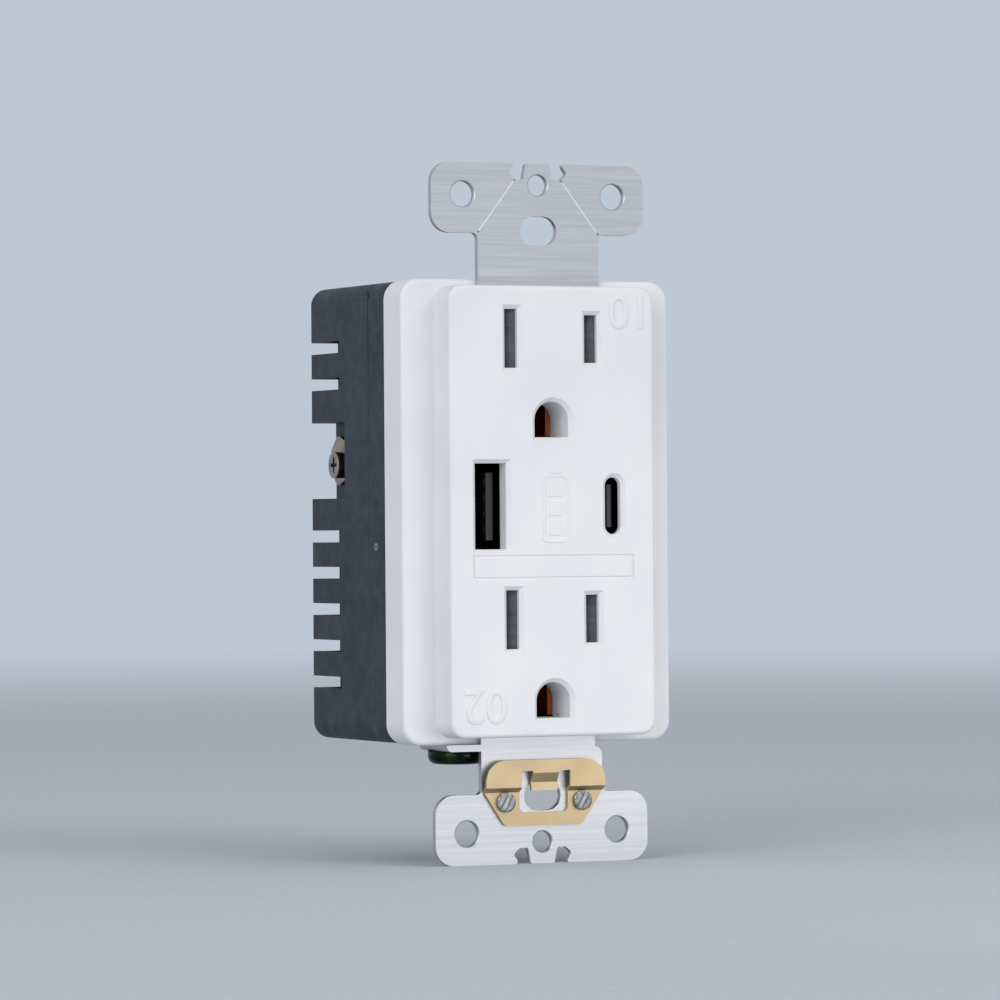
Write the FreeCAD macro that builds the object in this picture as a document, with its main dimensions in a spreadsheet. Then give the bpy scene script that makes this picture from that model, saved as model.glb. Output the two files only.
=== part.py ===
import FreeCAD, Part
import math
import os
import Sketcher
from types import SimpleNamespace

# Duplex wall receptacle with two USB charging ports, in millimetres.
# X runs to the right seen from the room, Y runs into the wall and Z runs up.
# The origin is the middle of the mounting strap's front face.

# Driving sizes

SIZES = {
    # Mounting strap, a steel stamping
    "strap_length": 103.2,
    "strap_thickness": 1.0,
    "strap_middle_width": 29.4,
    "strap_middle_height": 61.6,
    "ear_width": 34.64,
    "ear_height": 10.35,
    "ear_corner": 3.0,
    "neck_width": 19.74,
    "neck_waist": 17.4,
    "waist_shoulder": 34.6,
    "waist_round": 1.1,
    "inner_corner": 0.8,
    "plate_screw_spacing": 96.84,
    "plate_screw_hole": 3.1,
    "ear_hole_span": 24.5,
    "ear_hole_spacing": 93.88,
    "ear_hole": 3.8,
    "box_screw_spacing": 83.34,
    "box_slot_width": 6.0,
    "box_slot_height": 4.3,
    "end_tab_width": 3.9,
    "notch_mouth": 1.8,
    "notch_belly": 2.8,
    "notch_belly_drop": 1.45,
    "notch_depth": 2.35,
    "notch_lean": 0.45,
    "notch_round": 0.35,
    "hole_rim": 0.15,
    "score_width": 0.3,
    "score_depth": 0.25,
    "ground_tab_reach": 15.4,
    "ground_tab_depth": 11.0,
    "ground_tab_corner": 1.3,
    "ground_tab_lip": 0.9,
    "window_gap": 1.0,
    # Raised face cover, moulded with a rim that seats on the front frame
    "cover_width": 33.3,
    "cover_height": 66.2,
    "cover_raise": 5.6,
    "cover_corner": 2.3,
    "cover_edge": 0.6,
    "cover_wall": 1.6,
    "face_thickness": 2.7,
    "shutter_roof": 1.3,
    "body_lift": 0.3,
    "mouth_chamfer": 0.6,
    "rating_frame_width": 26.3,
    "rating_frame_height": 3.6,
    "rating_frame_centre": -7.9,
    "rating_groove": 0.4,
    "groove_depth": 0.2,
    "leg_width": 5.0,
    "leg_thickness": 0.8,
    "leg_hook": 0.5,
    "leg_hook_length": 1.2,
    "leg_span": 40.0,
    # Outlets
    "upper_blade_line": 25.64,
    "lower_blade_line": -15.57,
    "blade_spacing": 12.98,
    "slot_width": 2.05,
    "neutral_slot_height": 8.65,
    "hot_slot_height": 7.05,
    "ground_drop": 11.95,
    "ground_hole_width": 5.46,
    "ground_hole_height": 5.28,
    "chimney_wall": 0.9,
    "chimney_reach": 6.6,
    # USB ports
    "usb_a_x": -9.96,
    "usb_centre": 1.05,
    "usb_a_width": 5.0,
    "usb_a_height": 12.6,
    "usb_a_tongue": 1.1,
    "usb_a_tongue_height": 10.0,
    "usb_a_tongue_shift": 1.1,
    "usb_a_contact_pitch": 2.35,
    "usb_a_contact_width": 1.0,
    "usb_a_contact_thickness": 0.2,
    "usb_c_x": 9.96,
    "usb_c_width": 2.56,
    "usb_c_height": 8.42,
    "usb_c_setback": 1.6,
    "usb_c_tongue": 0.7,
    "usb_c_tongue_height": 6.3,
    "shell_wall": 0.3,
    "tongue_setback": 0.6,
    "port_foot": 2.5,
    # White front frame that carries the cover and the strap
    "frame_width": 43.65,
    "frame_height": 68.4,
    "frame_depth": 6.25,
    "frame_corner": 3.0,
    "frame_edge": 0.6,
    "frame_wall": 1.8,
    # Dark housing in two shells
    "housing_width": 42.5,
    "housing_height": 68.2,
    "housing_corner": 2.6,
    "housing_wall": 1.8,
    "band_depth": 7.15,
    "rear_depth": 22.0,
    "rear_edge": 0.8,
    "parting_chamfer": 0.2,
    "vent_height": 1.8,
    "vent_pitch": 5.5,
    "vent_length": 11.3,
    "vent_wrap": 4.65,
    "vent_corner": 0.4,
    "top_vent": 25.3,
    "lower_vent": -3.2,
    # Wire terminals
    "recess_height": 11.5,
    "recess_length": 13.0,
    "recess_depth": 4.25,
    "recess_wall": 1.4,
    "terminal_centre": 8.25,
    "clamp_width": 7.4,
    "clamp_length": 8.6,
    "clamp_taper": 5.2,
    "clamp_thickness": 0.85,
    "clamp_chamfer": 2.1,
    "clamp_setback": 2.1,
    "terminal_screw_setback": 7.9,
    "terminal_screw_drop": 0.7,
    "terminal_screw": 3.0,
    "terminal_head": 4.0,
    "terminal_head_height": 2.1,
    "terminal_screw_length": 4.3,
    # Contacts, stamped from brass strip
    "strip_thickness": 0.8,
    "blade_grip": 1.3,
    "leaf_thickness": 0.5,
    "leaf_length": 8.0,
    "leaf_width": 5.5,
    "bus_width": 3.0,
    "bus_overhang": 0.6,
    "supply_width": 2.0,
    "ground_pin": 4.76,
    "contact_foot": 1.5,
    "contact_width": 4.6,
    "contact_knee": 0.8,
    "contact_reach": 2.7,
    # Tamper-resistant shutters
    "shutter_height": 10.0,
    "shutter_thickness": 2.2,
    "shutter_travel": 2.7,
    "shutter_window": 2.3,
    "ramp_rise": 1.65,
    "tray_floor": 0.9,
    "tray_wall": 0.7,
    "spring_diameter": 1.5,
    "spring_wire": 0.26,
    "spring_turns": 4.0,
    # Fasteners
    "assembly_screw": 2.6,
    "assembly_head": 4.6,
    "assembly_head_height": 1.6,
    "boss_inset_side": 4.05,
    "boss_inset_end": 3.3,
    "boss_wall": 1.1,
    "drive_bar": 0.55,
    "drive_depth": 1.0,
    "ground_screw": 4.2,
    "ground_head": 8.6,
    "ground_head_height": 2.0,
    "ground_head_round": 1.2,
    "screw_point": 0.5,
    "ground_screw_length": 4.6,
    "ground_screw_x": -10.9,
    "ground_screw_y": 6.4,
    # Self-grounding clip at the lower box screw
    "clip_thickness": 0.5,
    "clip_width": 19.4,
    "clip_foot_width": 12.7,
    "clip_top": -36.25,
    "clip_side_end": -40.9,
    "clip_bottom": -45.95,
    "clip_shoulder": 3.2,
    "clip_side_round": 2.0,
    "clip_foot_round": 1.0,
    "clip_rise": 0.9,
    "clip_crease": -40.3,
    "clip_slope": 0.7,
    "clip_window_width": 7.9,
    "clip_window_top": -37.9,
    "clip_window_bottom": -44.0,
    "clip_window_round": 0.8,
    "clip_tongue_width": 4.3,
    "clip_tongue_start": -38.2,
    "clip_tongue_dip": -39.6,
    "clip_tongue_end": -40.8,
    "clip_dip_back": 0.8,
    "clip_lip_back": 0.5,
    "rivet_span": 12.5,
    "rivet_line": -42.45,
    "rivet_head": 2.9,
    "rivet_head_height": 0.55,
    "rivet_shank": 1.8,
    # Circuit boards and what they carry
    "board_thickness": 1.6,
    "usb_board_side_gap": 0.7,
    "usb_board_height": 18.8,
    "power_board_height": 50.0,
    "board_stand": 3.0,
    "board_post": 3.0,
    "board_rest": 2.0,
    "link_pin": 0.64,
    "link_pin_pitch": 2.54,
    "link_pin_drop": 5.0,
    "link_pin_end": 0.8,
    "sheet_thickness": 0.5,
    "core_width": 16.0,
    "core_height": 14.3,
    "core_leg": 4.2,
    "core_side": 2.2,
    "core_rail": 2.9,
    "core_stand": 1.8,
    "core_centre": 13.0,
    "winding_round": 0.8,
    "bulk_diameter": 8.6,
    "bulk_length": 11.4,
    "bulk_spacing": 10.0,
    "bulk_inset": 11.1,
    "output_diameter": 4.9,
    "output_length": 7.4,
    "output_spacing": 5.7,
    "output_inset": 3.7,
    "fuse_diameter": 3.1,
    "fuse_length": 5.1,
    "fuse_inset": 2.3,
    "fuse_line": -4.4,
    "chip_width": 4.6,
    "chip_height": 4.4,
    "chip_thickness": 1.4,
    "chip_spacing": 8.0,
    "chip_line": 1.0,
    # Clearances
    "gap": 0.1,
    "slide_gap": 0.15,
    "screw_gap": 0.05,
    "loose_gap": 0.3,
}


class Length:
    """A size with the sheet formula that gives it."""

    def __init__(self, value, formula):
        self.value = value
        self.formula = formula

    def join(self, sign, other, value):
        text = other.formula if isinstance(other, Length) else repr(float(other))
        return Length(value, f"({self.formula} {sign} {text})")

    def __add__(self, other):
        return self.join("+", other, self.value + number(other))

    def __sub__(self, other):
        return self.join("-", other, self.value - number(other))

    def __mul__(self, other):
        return self.join("*", other, self.value * number(other))

    def __truediv__(self, other):
        return self.join("/", other, self.value / number(other))

    def __neg__(self):
        return self * -1

    def __radd__(self, other):
        return self + other


def number(size):
    return size.value if isinstance(size, Length) else float(size)


doc = FreeCAD.newDocument("usb_wall_socket")
sheet = doc.addObject("Spreadsheet::Sheet", "Sizes")
for row, (alias, value) in enumerate(SIZES.items(), start=1):
    sheet.set(f"A{row}", alias)
    sheet.set(f"B{row}", str(value))
    sheet.setAlias(f"B{row}", alias)
doc.recompute()
s = SimpleNamespace(**{alias: Length(value, f"Sizes.{alias}") for alias, value in SIZES.items()})
ZERO = Length(0.0, "0")

# Places along the depth, from the room side to the back
seam = s.strap_thickness
face = seam - s.cover_raise
inner_face = face + s.face_thickness
shutter_face = face + s.shutter_roof
frame_back = seam + s.frame_depth
band_back = frame_back + s.band_depth
rear_back = band_back + s.rear_depth
band_floor = band_back - s.housing_wall
rear_floor = rear_back - s.housing_wall
usb_board_front = band_floor - s.board_thickness
power_board_back = rear_floor - s.board_stand
power_board_front = power_board_back - s.board_thickness
bus_front = band_floor - s.strip_thickness
lug_end = rear_back - s.clamp_setback

# Places across and up
strap_end = s.strap_length / 2
ear_low = strap_end - s.ear_height
frame_low = s.body_lift - s.frame_height / 2
ground_screw_top = frame_low - s.strap_thickness + s.ground_screw_length
blade_side = s.blade_spacing / 2
slot_side = s.box_screw_spacing / 2
recess_floor = s.housing_width / 2 - s.recess_depth
lug_inner = recess_floor + s.gap
lug_outer = lug_inner + s.strip_thickness
clamp_outer = lug_outer + s.clamp_thickness
screw_depth = rear_back - s.terminal_screw_setback
screw_line = s.terminal_centre - s.terminal_screw_drop
bus_outer = lug_outer + s.bus_overhang
bus_inner = bus_outer - s.bus_width
usb_board_side = bus_inner - s.usb_board_side_gap
power_board_side = clamp_outer - s.terminal_screw_length - s.slide_gap
power_board_low = s.body_lift - s.power_board_height / 2
boss_side = s.housing_width / 2 - s.boss_inset_side
boss_rise = s.housing_height / 2 - s.boss_inset_end
boss_size = s.assembly_screw + s.boss_wall * 2

# How wide a cross recess is beside its screw head
DRIVE_SHARE = 0.6

OUTLETS = {"upper": s.upper_blade_line, "lower": s.lower_blade_line}
SIDES = {"neutral": -1, "hot": 1}
CORNERS = [(across, up) for across in (-1, 1) for up in (-1, 1)]

# Drawing in sketches

VIEWS = {"front": "XZ_Plane", "side": "YZ_Plane", "top": "XY_Plane"}
ORIGIN = -1
UPRIGHT_AXIS = -2
# How a sketch counts the places on a line or an arc
START, FINISH, CENTRE = range(1, 4)


def pin(drawing, kind, line, end, size):
    """Fixes one coordinate of a point to a size in the sheet."""
    if number(size) == 0.0:
        axis = UPRIGHT_AXIS if kind == "DistanceX" else ORIGIN
        drawing.addConstraint(Sketcher.Constraint("PointOnObject", line, end, axis))
        return
    index = drawing.addConstraint(Sketcher.Constraint(kind, ORIGIN, START, line, end, number(size)))
    if isinstance(size, Length):
        drawing.setExpression(f"Constraints[{index}]", size.formula)


def point(corner):
    return FreeCAD.Vector(number(corner[0]), number(corner[1]), 0)


def outline(corners, arcs=None):
    """A closed outline through corners, anticlockwise. arcs gives the centre of each side that is round."""

    def draw(drawing):
        first = drawing.GeometryCount
        count = len(corners)
        for index, corner in enumerate(corners):
            begin = point(corner)
            end = point(corners[(index + 1) % count])
            drawing.addGeometry(side(begin, end, arcs.get(index) if arcs else None))
        for index in range(count):
            after = first + (index + 1) % count
            drawing.addConstraint(Sketcher.Constraint("Coincident", first + index, FINISH, after, START))
        for index, (across, up) in enumerate(corners):
            pin(drawing, "DistanceX", first + index, START, across)
            pin(drawing, "DistanceY", first + index, START, up)
        for index, (kind, across, up) in (arcs or {}).items():
            pin(drawing, kind, first + index, CENTRE, across if kind == "DistanceX" else up)

    return draw


def side(begin, end, arc):
    """A straight side, or one round the centre of arc."""
    if arc is None:
        return Part.LineSegment(begin, end)
    centre = point(arc[1:])
    circle = Part.Circle(centre, FreeCAD.Vector(0, 0, 1), (begin - centre).Length)
    turn = [math.atan2((place - centre).y, (place - centre).x) for place in (begin, end)]
    if turn[1] <= turn[0]:
        turn[1] += 2 * math.pi
    return Part.ArcOfCircle(circle, turn[0], turn[1])


def rect(left, right, low, high):
    return outline([(left, low), (right, low), (right, high), (left, high)])


def centred(width, height, across=ZERO, up=ZERO):
    return rect(across - width / 2, across + width / 2, up - height / 2, up + height / 2)


def disc(across, up, diameter):
    """A circle pinned at its centre."""

    def draw(drawing):
        centre = point((across, up))
        index = drawing.addGeometry(Part.Circle(centre, FreeCAD.Vector(0, 0, 1), number(diameter) / 2))
        pin(drawing, "DistanceX", index, CENTRE, across)
        pin(drawing, "DistanceY", index, CENTRE, up)
        rule = drawing.addConstraint(Sketcher.Constraint("Diameter", index, number(diameter)))
        drawing.setExpression(f"Constraints[{rule}]", diameter.formula)

    return draw


def arch(width, height, across, low):
    """A flat-bottomed hole with a half-round top."""
    spring = low + height - width / 2
    left, right = across - width / 2, across + width / 2
    corners = [(left, low), (right, low), (right, spring), (left, spring)]
    return outline(corners, {2: ("DistanceY", across, spring)})


def lying_slot(width, height, across, up):
    """A slot with half-round ends to the left and right."""
    left, right = across - (width - height) / 2, across + (width - height) / 2
    low, high = up - height / 2, up + height / 2
    corners = [(left, low), (right, low), (right, high), (left, high)]
    return outline(corners, {1: ("DistanceX", right, up), 3: ("DistanceX", left, up)})


def standing_slot(width, height, across, up):
    """A slot with half-round ends at the top and bottom."""
    left, right = across - width / 2, across + width / 2
    low, high = up - (height - width) / 2, up + (height - width) / 2
    corners = [(left, low), (right, low), (right, high), (left, high)]
    return outline(corners, {0: ("DistanceY", across, low), 2: ("DistanceY", across, high)})


# Making pieces

pieces = []


def new_body(label):
    body = doc.addObject("PartDesign::Body", label)
    body.Label = label
    pieces.append(body)
    return body


def sketch(body, name, view, place, shapes):
    """A sketch on a plane of the body's own origin, moved along to place."""
    drawing = body.newObject("Sketcher::SketchObject", name)
    plane = next(item for item in body.Origin.OriginFeatures if item.Role == VIEWS[view])
    drawing.AttachmentSupport = [(plane, "")]
    drawing.MapMode = "FlatFace"
    offset = -place if view == "front" else place
    drawing.setExpression("AttachmentOffset.Base.z", offset.formula)
    for draw in shapes:
        draw(drawing)
    return drawing


def volume(body):
    return body.Shape.Volume if body.Tip else 0.0


def run(body, kind, name, view, span, shapes):
    """A pad or pocket of the shapes between the two places of span, along the view's axis."""
    begin, end = span
    before = volume(body)
    drawing = sketch(body, name + "_sketch", view, begin, shapes)
    feature = body.newObject(f"PartDesign::{kind}", name)
    feature.Profile = drawing
    feature.setExpression("Length", (end - begin).formula)
    feature.Reversed = (view == "front") == (kind == "Pad")
    doc.recompute()
    grown = volume(body) > before
    if grown != (kind == "Pad"):
        raise ValueError(f"{body.Label}: {name} changes nothing")
    return feature


def pad(body, name, view, span, shapes):
    return run(body, "Pad", name, view, span, shapes)


def pocket(body, name, view, span, shapes):
    return run(body, "Pocket", name, view, span, shapes)


def dress(body, kind, name, size, chosen):
    """A fillet or chamfer on the edges for which chosen says yes."""
    base = body.Tip
    edges = [f"Edge{index}" for index, edge in enumerate(base.Shape.Edges, start=1) if chosen(edge)]
    if not edges:
        raise ValueError(f"{body.Label}: {name} finds no edge")
    feature = body.newObject(f"PartDesign::{kind}", name)
    feature.Base = (base, edges)
    feature.setExpression("Radius" if kind == "Fillet" else "Size", size.formula)
    doc.recompute()
    return feature


NEAR = 1e-4


def runs_along(edge, axis):
    """Whether a straight edge lies along X, Y or Z."""
    ends = [vertex.Point for vertex in edge.Vertexes]
    if len(ends) < 2:
        return False
    step = ends[1] - ends[0]
    return abs(abs(step[axis]) - step.Length) < NEAR and abs(edge.Length - step.Length) < NEAR


def lies_at(edge, axis, place):
    box = edge.BoundBox
    low, high = ((box.XMin, box.XMax), (box.YMin, box.YMax), (box.ZMin, box.ZMax))[axis]
    return abs(low - number(place)) < NEAR and abs(high - number(place)) < NEAR


def rounded_block(body, name, width, height, up, span, corner):
    """A block whose four edges along the depth are rounded."""
    pad(body, name, "front", span, [centred(width, height, ZERO, up)])
    dress(body, "Fillet", name + "_corners", corner, lambda edge: runs_along(edge, 1))


def block(name, across, depth, up):
    """A plain block between two places each way."""
    item = doc.addObject("Part::Box", name)
    for (low, high), length, place in zip((across, depth, up), ("Length", "Width", "Height"), "xyz"):
        item.setExpression(length, (high - low).formula)
        item.setExpression(f"Placement.Base.{place}", (low + 0).formula)
    return item


AIMS = {
    "x": FreeCAD.Rotation(FreeCAD.Vector(0, 1, 0), 90),
    "y": FreeCAD.Rotation(FreeCAD.Vector(1, 0, 0), -90),
    "z": FreeCAD.Rotation(),
}


def rod(name, aim, start, length, diameter):
    """A round rod from start, towards +X, +Y or +Z."""
    item = doc.addObject("Part::Cylinder", name)
    item.Placement = FreeCAD.Placement(FreeCAD.Vector(), AIMS[aim])
    item.setExpression("Radius", (diameter / 2).formula)
    item.setExpression("Height", length.formula)
    for place, size in zip("xyz", start):
        item.setExpression(f"Placement.Base.{place}", size.formula)
    return item


def joined(name, parts):
    item = doc.addObject("Part::MultiFuse", name)
    item.Shapes = parts
    return item


def cut(name, base, tool):
    item = doc.addObject("Part::Cut", name)
    item.Base = base
    item.Tool = tool
    return item


def group(name, parts):
    item = doc.addObject("Part::Compound", name)
    item.Links = parts
    return item


def keep(item, label):
    """Names a finished piece."""
    item.Label = label
    pieces.append(item)
    return item


def ground_low(line):
    """The flat bottom of the ground hole below a blade line."""
    return line - s.ground_drop - s.ground_hole_width / 2 + (s.ground_hole_width - s.ground_hole_height)


def ground_middle(line):
    return line - s.ground_drop


# Mounting strap and what is fixed to it


def mirrored(corners):
    """The corners with their mirror images across the upright axis, going round."""
    return corners + [(-across, up) for across, up in reversed(corners)]


def mounting_strap():
    body = new_body("mounting_strap")
    ear = s.ear_width / 2
    neck = s.neck_width / 2
    middle = s.strap_middle_width / 2
    middle_low = s.body_lift - s.strap_middle_height / 2
    middle_high = s.body_lift + s.strap_middle_height / 2
    right = [
        (ear, -strap_end),
        (ear, -ear_low),
        (neck, -ear_low),
        (neck, -s.waist_shoulder),
        (s.neck_waist / 2, -s.waist_shoulder),
        (s.neck_waist / 2, middle_low),
        (middle, middle_low),
        (middle, middle_high),
        (neck, middle_high),
        (neck, ear_low),
        (ear, ear_low),
        (ear, strap_end),
    ]
    left = [
        (-ear, strap_end),
        (-ear, ear_low),
        (-neck, ear_low),
        (-neck, middle_high),
        (-middle, middle_high),
        (-middle, middle_low),
        (-neck, middle_low),
        (-neck, -ear_low),
        (-ear, -ear_low),
        (-ear, -strap_end),
    ]
    sheet_span = (ZERO, s.strap_thickness)
    pad(body, "Plate", "front", sheet_span, [outline(right + left)])
    ground_tab(body)
    dress(body, "Fillet", "EarCorners", s.ear_corner, lambda edge: is_ear_corner(edge, ear))
    dress(body, "Fillet", "NeckCorners", s.inner_corner, lambda edge: is_neck_corner(edge, neck))
    dress(body, "Fillet", "WaistCorner", s.waist_round, lambda edge: runs_along(edge, 1)
          and lies_at(edge, 0, neck) and lies_at(edge, 2, -s.waist_shoulder))
    pocket(body, "EndNotches", "front", sheet_span, end_notches())
    dress(body, "Fillet", "NotchCorners", s.notch_round, is_notch_corner)
    pocket(body, "ScrewHoles", "front", sheet_span, strap_holes())
    dress(body, "Chamfer", "HoleRims", s.hole_rim, lambda edge: edge.isClosed() and lies_at(edge, 1, ZERO))
    pocket(body, "Windows", "front", sheet_span, strap_windows())
    pocket(body, "ScoreLines", "front", (ZERO, s.score_depth), score_lines(neck))


def is_ear_corner(edge, ear):
    return runs_along(edge, 1) and (lies_at(edge, 0, ear) or lies_at(edge, 0, -ear))


def is_neck_corner(edge, neck):
    at_neck = lies_at(edge, 0, neck) or lies_at(edge, 0, -neck)
    return runs_along(edge, 1) and at_neck and (lies_at(edge, 2, ear_low) or lies_at(edge, 2, -ear_low))


def is_notch_corner(edge):
    """Whether an upright of the sheet's edge belongs to a notch at either end of the strap."""
    box = edge.BoundBox
    reach = number(s.end_tab_width / 2 + s.notch_belly) + NEAR
    floor = number(strap_end - s.notch_depth) - NEAR
    return runs_along(edge, 1) and abs(box.XMin) < reach and abs(box.ZMin) > floor


def ground_tab(body):
    """A tab turned back under the frame, tapped for the ground screw."""
    high = frame_low
    low = high - s.strap_thickness
    reach = -s.ground_tab_reach
    shapes = [rect(reach, -s.neck_waist / 4, ZERO, s.ground_tab_depth)]
    pad(body, "GroundTab", "top", (low, high), shapes)
    dress(body, "Fillet", "TabCorner", s.ground_tab_corner, lambda edge: runs_along(edge, 2)
          and lies_at(edge, 0, reach) and lies_at(edge, 1, s.ground_tab_depth))
    dress(body, "Fillet", "TabLip", s.ground_tab_lip, lambda edge: runs_along(edge, 1)
          and lies_at(edge, 0, reach) and lies_at(edge, 2, low))
    hole = disc(s.ground_screw_x, s.ground_screw_y, s.ground_screw + s.screw_gap * 2)
    pocket(body, "GroundTap", "top", (low, high), [hole])


def end_notches():
    """Undercut notches each side of the plate-screw tab, at both ends."""
    shapes = []
    tab = s.end_tab_width / 2
    floor = strap_end - s.notch_depth
    belly = strap_end - s.notch_belly_drop
    beyond = strap_end + s.strap_thickness
    right_top = [
        (tab, beyond),
        (tab, strap_end),
        (tab + s.notch_lean, floor),
        (tab + s.notch_mouth, floor),
        (tab + s.notch_belly, belly),
        (tab + s.notch_mouth, strap_end),
        (tab + s.notch_mouth, beyond),
    ]
    shapes.append(outline(right_top))
    shapes.append(outline([(-across, up) for across, up in reversed(right_top)]))
    shapes.append(outline([(across, -up) for across, up in reversed(right_top)]))
    shapes.append(outline([(-across, -up) for across, up in right_top]))
    return shapes


def strap_holes():
    """Holes for the cover-plate screws, the box screws, the ears and the clip's rivets."""
    shapes = []
    for end in (-1, 1):
        shapes.append(disc(ZERO, s.plate_screw_spacing / 2 * end, s.plate_screw_hole))
        shapes.append(lying_slot(s.box_slot_width, s.box_slot_height, ZERO, slot_side * end))
        shapes.append(disc(s.rivet_span / 2 * end, s.rivet_line, s.rivet_shank))
    for across, up in CORNERS:
        shapes.append(disc(s.ear_hole_span / 2 * across, s.ear_hole_spacing / 2 * up, s.ear_hole))
    return shapes


def strap_windows():
    """Openings for the blades, the ground pins and the USB ports."""
    shapes = [usb_window()]
    for line in OUTLETS.values():
        shapes.append(blade_window(line))
        shapes.append(chimney(line, s.chimney_wall + s.loose_gap))
    return shapes


def usb_window():
    low = s.usb_centre - s.usb_a_height / 2 - s.window_gap
    high = s.usb_centre + s.usb_a_height / 2 + s.window_gap
    left = s.usb_a_x - s.usb_a_width / 2 - s.window_gap
    right = s.usb_c_x + s.usb_c_width / 2 + s.window_gap
    return rect(left, right, low, high)


def blade_window(line):
    width = s.blade_spacing + s.slot_width + s.window_gap * 2
    return centred(width, s.neutral_slot_height + s.window_gap * 2, ZERO, line)


def score_lines(neck):
    """Break-off lines from the end notches to the neck, on the upper ears."""
    half = s.score_width / 2
    start = s.end_tab_width / 2 + s.notch_mouth
    top = strap_end - s.notch_depth
    line = [
        (neck - half, ear_low),
        (neck + half, ear_low),
        (start + half, top),
        (start - half, top),
    ]
    return [outline(line), outline([(-across, up) for across, up in reversed(line)])]


def ground_clip():
    """The brass clip that grounds the strap through the lower box screw."""
    body = new_body("ground_clip")
    half = s.clip_width / 2
    low = s.clip_bottom
    high = s.clip_top
    raised = -s.clip_thickness - s.clip_rise
    foot = s.clip_foot_width / 2
    corners = [(foot, low), (half, s.clip_side_end), (half, high)]
    pad(body, "Plate", "front", (raised, ZERO), [outline(mirrored(corners))])
    rounds = {"Shoulders": (high, s.clip_shoulder), "Sides": (s.clip_side_end, s.clip_side_round),
              "FootCorners": (low, s.clip_foot_round)}
    for name, (up, size) in rounds.items():
        dress(body, "Fillet", name, size, lambda edge: runs_along(edge, 1) and lies_at(edge, 2, up))
    beyond = s.clip_rise
    across = (-half - beyond, half + beyond)
    slope_top = s.clip_crease + s.clip_thickness / 2
    hollow = [
        (ZERO, slope_top - s.clip_slope),
        (ZERO, high + beyond),
        (-s.clip_rise, high + beyond),
        (-s.clip_rise, slope_top),
    ]
    pocket(body, "BehindRaisedPart", "side", across, [outline(hollow)])
    front = [
        (raised - beyond, low - beyond),
        (-s.clip_thickness, low - beyond),
        (-s.clip_thickness, s.clip_crease - s.clip_slope),
        (raised, s.clip_crease),
        (raised - beyond, s.clip_crease),
    ]
    pocket(body, "BeforeLowPart", "side", across, [outline(front)])
    window_middle = (s.clip_window_top + s.clip_window_bottom) / 2
    window_height = s.clip_window_top - s.clip_window_bottom
    window = centred(s.clip_window_width, window_height, ZERO, window_middle)
    pocket(body, "Window", "front", (raised, ZERO), [window])
    dress(body, "Fillet", "WindowCorners", s.clip_window_round, lambda edge: runs_along(edge, 1)
          and lies_at(edge, 2, s.clip_window_bottom))
    tongue = s.clip_tongue_width / 2
    pad(body, "Tongue", "side", (-tongue, tongue), [outline(tongue_profile(raised))])
    holes = [disc(s.rivet_span / 2 * end, s.rivet_line, s.rivet_shank) for end in (-1, 1)]
    pocket(body, "RivetHoles", "front", (raised, ZERO), holes)


def tongue_profile(raised):
    """The bent tongue from the side: back towards the strap, then out again in a short lip."""
    places = [
        (raised, s.clip_window_top),
        (raised, s.clip_tongue_start),
        (raised + s.clip_dip_back, s.clip_tongue_dip),
        (raised + s.clip_lip_back, s.clip_tongue_end),
    ]
    behind = [(depth + s.clip_thickness, up) for depth, up in reversed(places)]
    return places + behind


def clip_rivets():
    """Two rivets, each a separate solid, headed in front of the clip and behind the strap."""
    rivets = []
    for name, end in (("Left", -1), ("Right", 1)):
        place = s.rivet_span / 2 * end
        head_front = -s.clip_thickness - s.rivet_head_height
        length = s.rivet_head_height * 2 + s.clip_thickness + s.strap_thickness
        shank = rod(name + "RivetShank", "y", (place, head_front, s.rivet_line), length, s.rivet_shank)
        front = rod(name + "RivetHead", "y", (place, head_front, s.rivet_line), s.rivet_head_height,
                    s.rivet_head)
        back = rod(name + "RivetTail", "y", (place, s.strap_thickness, s.rivet_line),
                   s.rivet_head_height, s.rivet_head)
        rivets.append(joined(name + "Rivet", [shank, front, back]))
    keep(group("Rivets", rivets), "clip_rivets")


def cross_drive(name, aim, place, width, depth):
    """Two crossed bars that cut a screw's drive recess, from place along +X, +Y or +Z."""
    arm = width / 2
    thin = s.drive_bar / 2
    spans = {
        "x": lambda a, b: ((place[0], place[0] + depth), (place[1] - a, place[1] + a),
                           (place[2] - b, place[2] + b)),
        "y": lambda a, b: ((place[0] - a, place[0] + a), (place[1], place[1] + depth),
                           (place[2] - b, place[2] + b)),
        "z": lambda a, b: ((place[0] - a, place[0] + a), (place[1] - b, place[1] + b),
                           (place[2], place[2] + depth)),
    }
    level = block(name + "Level", *spans[aim](arm, thin))
    upright = block(name + "Upright", *spans[aim](thin, arm))
    return joined(name, [level, upright])


def ground_screw():
    """The green screw under the frame, with a low domed head facing down."""
    top = frame_low - s.strap_thickness
    head_low = top - s.ground_head_height
    shank_top = ground_screw_top
    body = new_body("ground_screw")
    profile = [
        (ZERO, head_low),
        (s.ground_head / 2, head_low),
        (s.ground_head / 2, top),
        (s.ground_screw / 2, top),
        (s.ground_screw / 2, shank_top),
        (ZERO, shank_top),
    ]
    turned(body, "Turned", profile)
    dress(body, "Fillet", "HeadRim", s.ground_head_round, lambda edge: lies_at(edge, 2, head_low))
    dress(body, "Chamfer", "Point", s.screw_point, lambda edge: lies_at(edge, 2, shank_top))
    width = s.ground_head * DRIVE_SHARE
    slots = [centred(width, s.drive_bar), centred(s.drive_bar, width)]
    for name, slot in zip(("SlotAcross", "SlotDeep"), slots):
        pocket(body, name, "top", (head_low, head_low + s.drive_depth), [slot])
    body.setExpression("Placement.Base.x", s.ground_screw_x.formula)
    body.setExpression("Placement.Base.y", s.ground_screw_y.formula)


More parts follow.
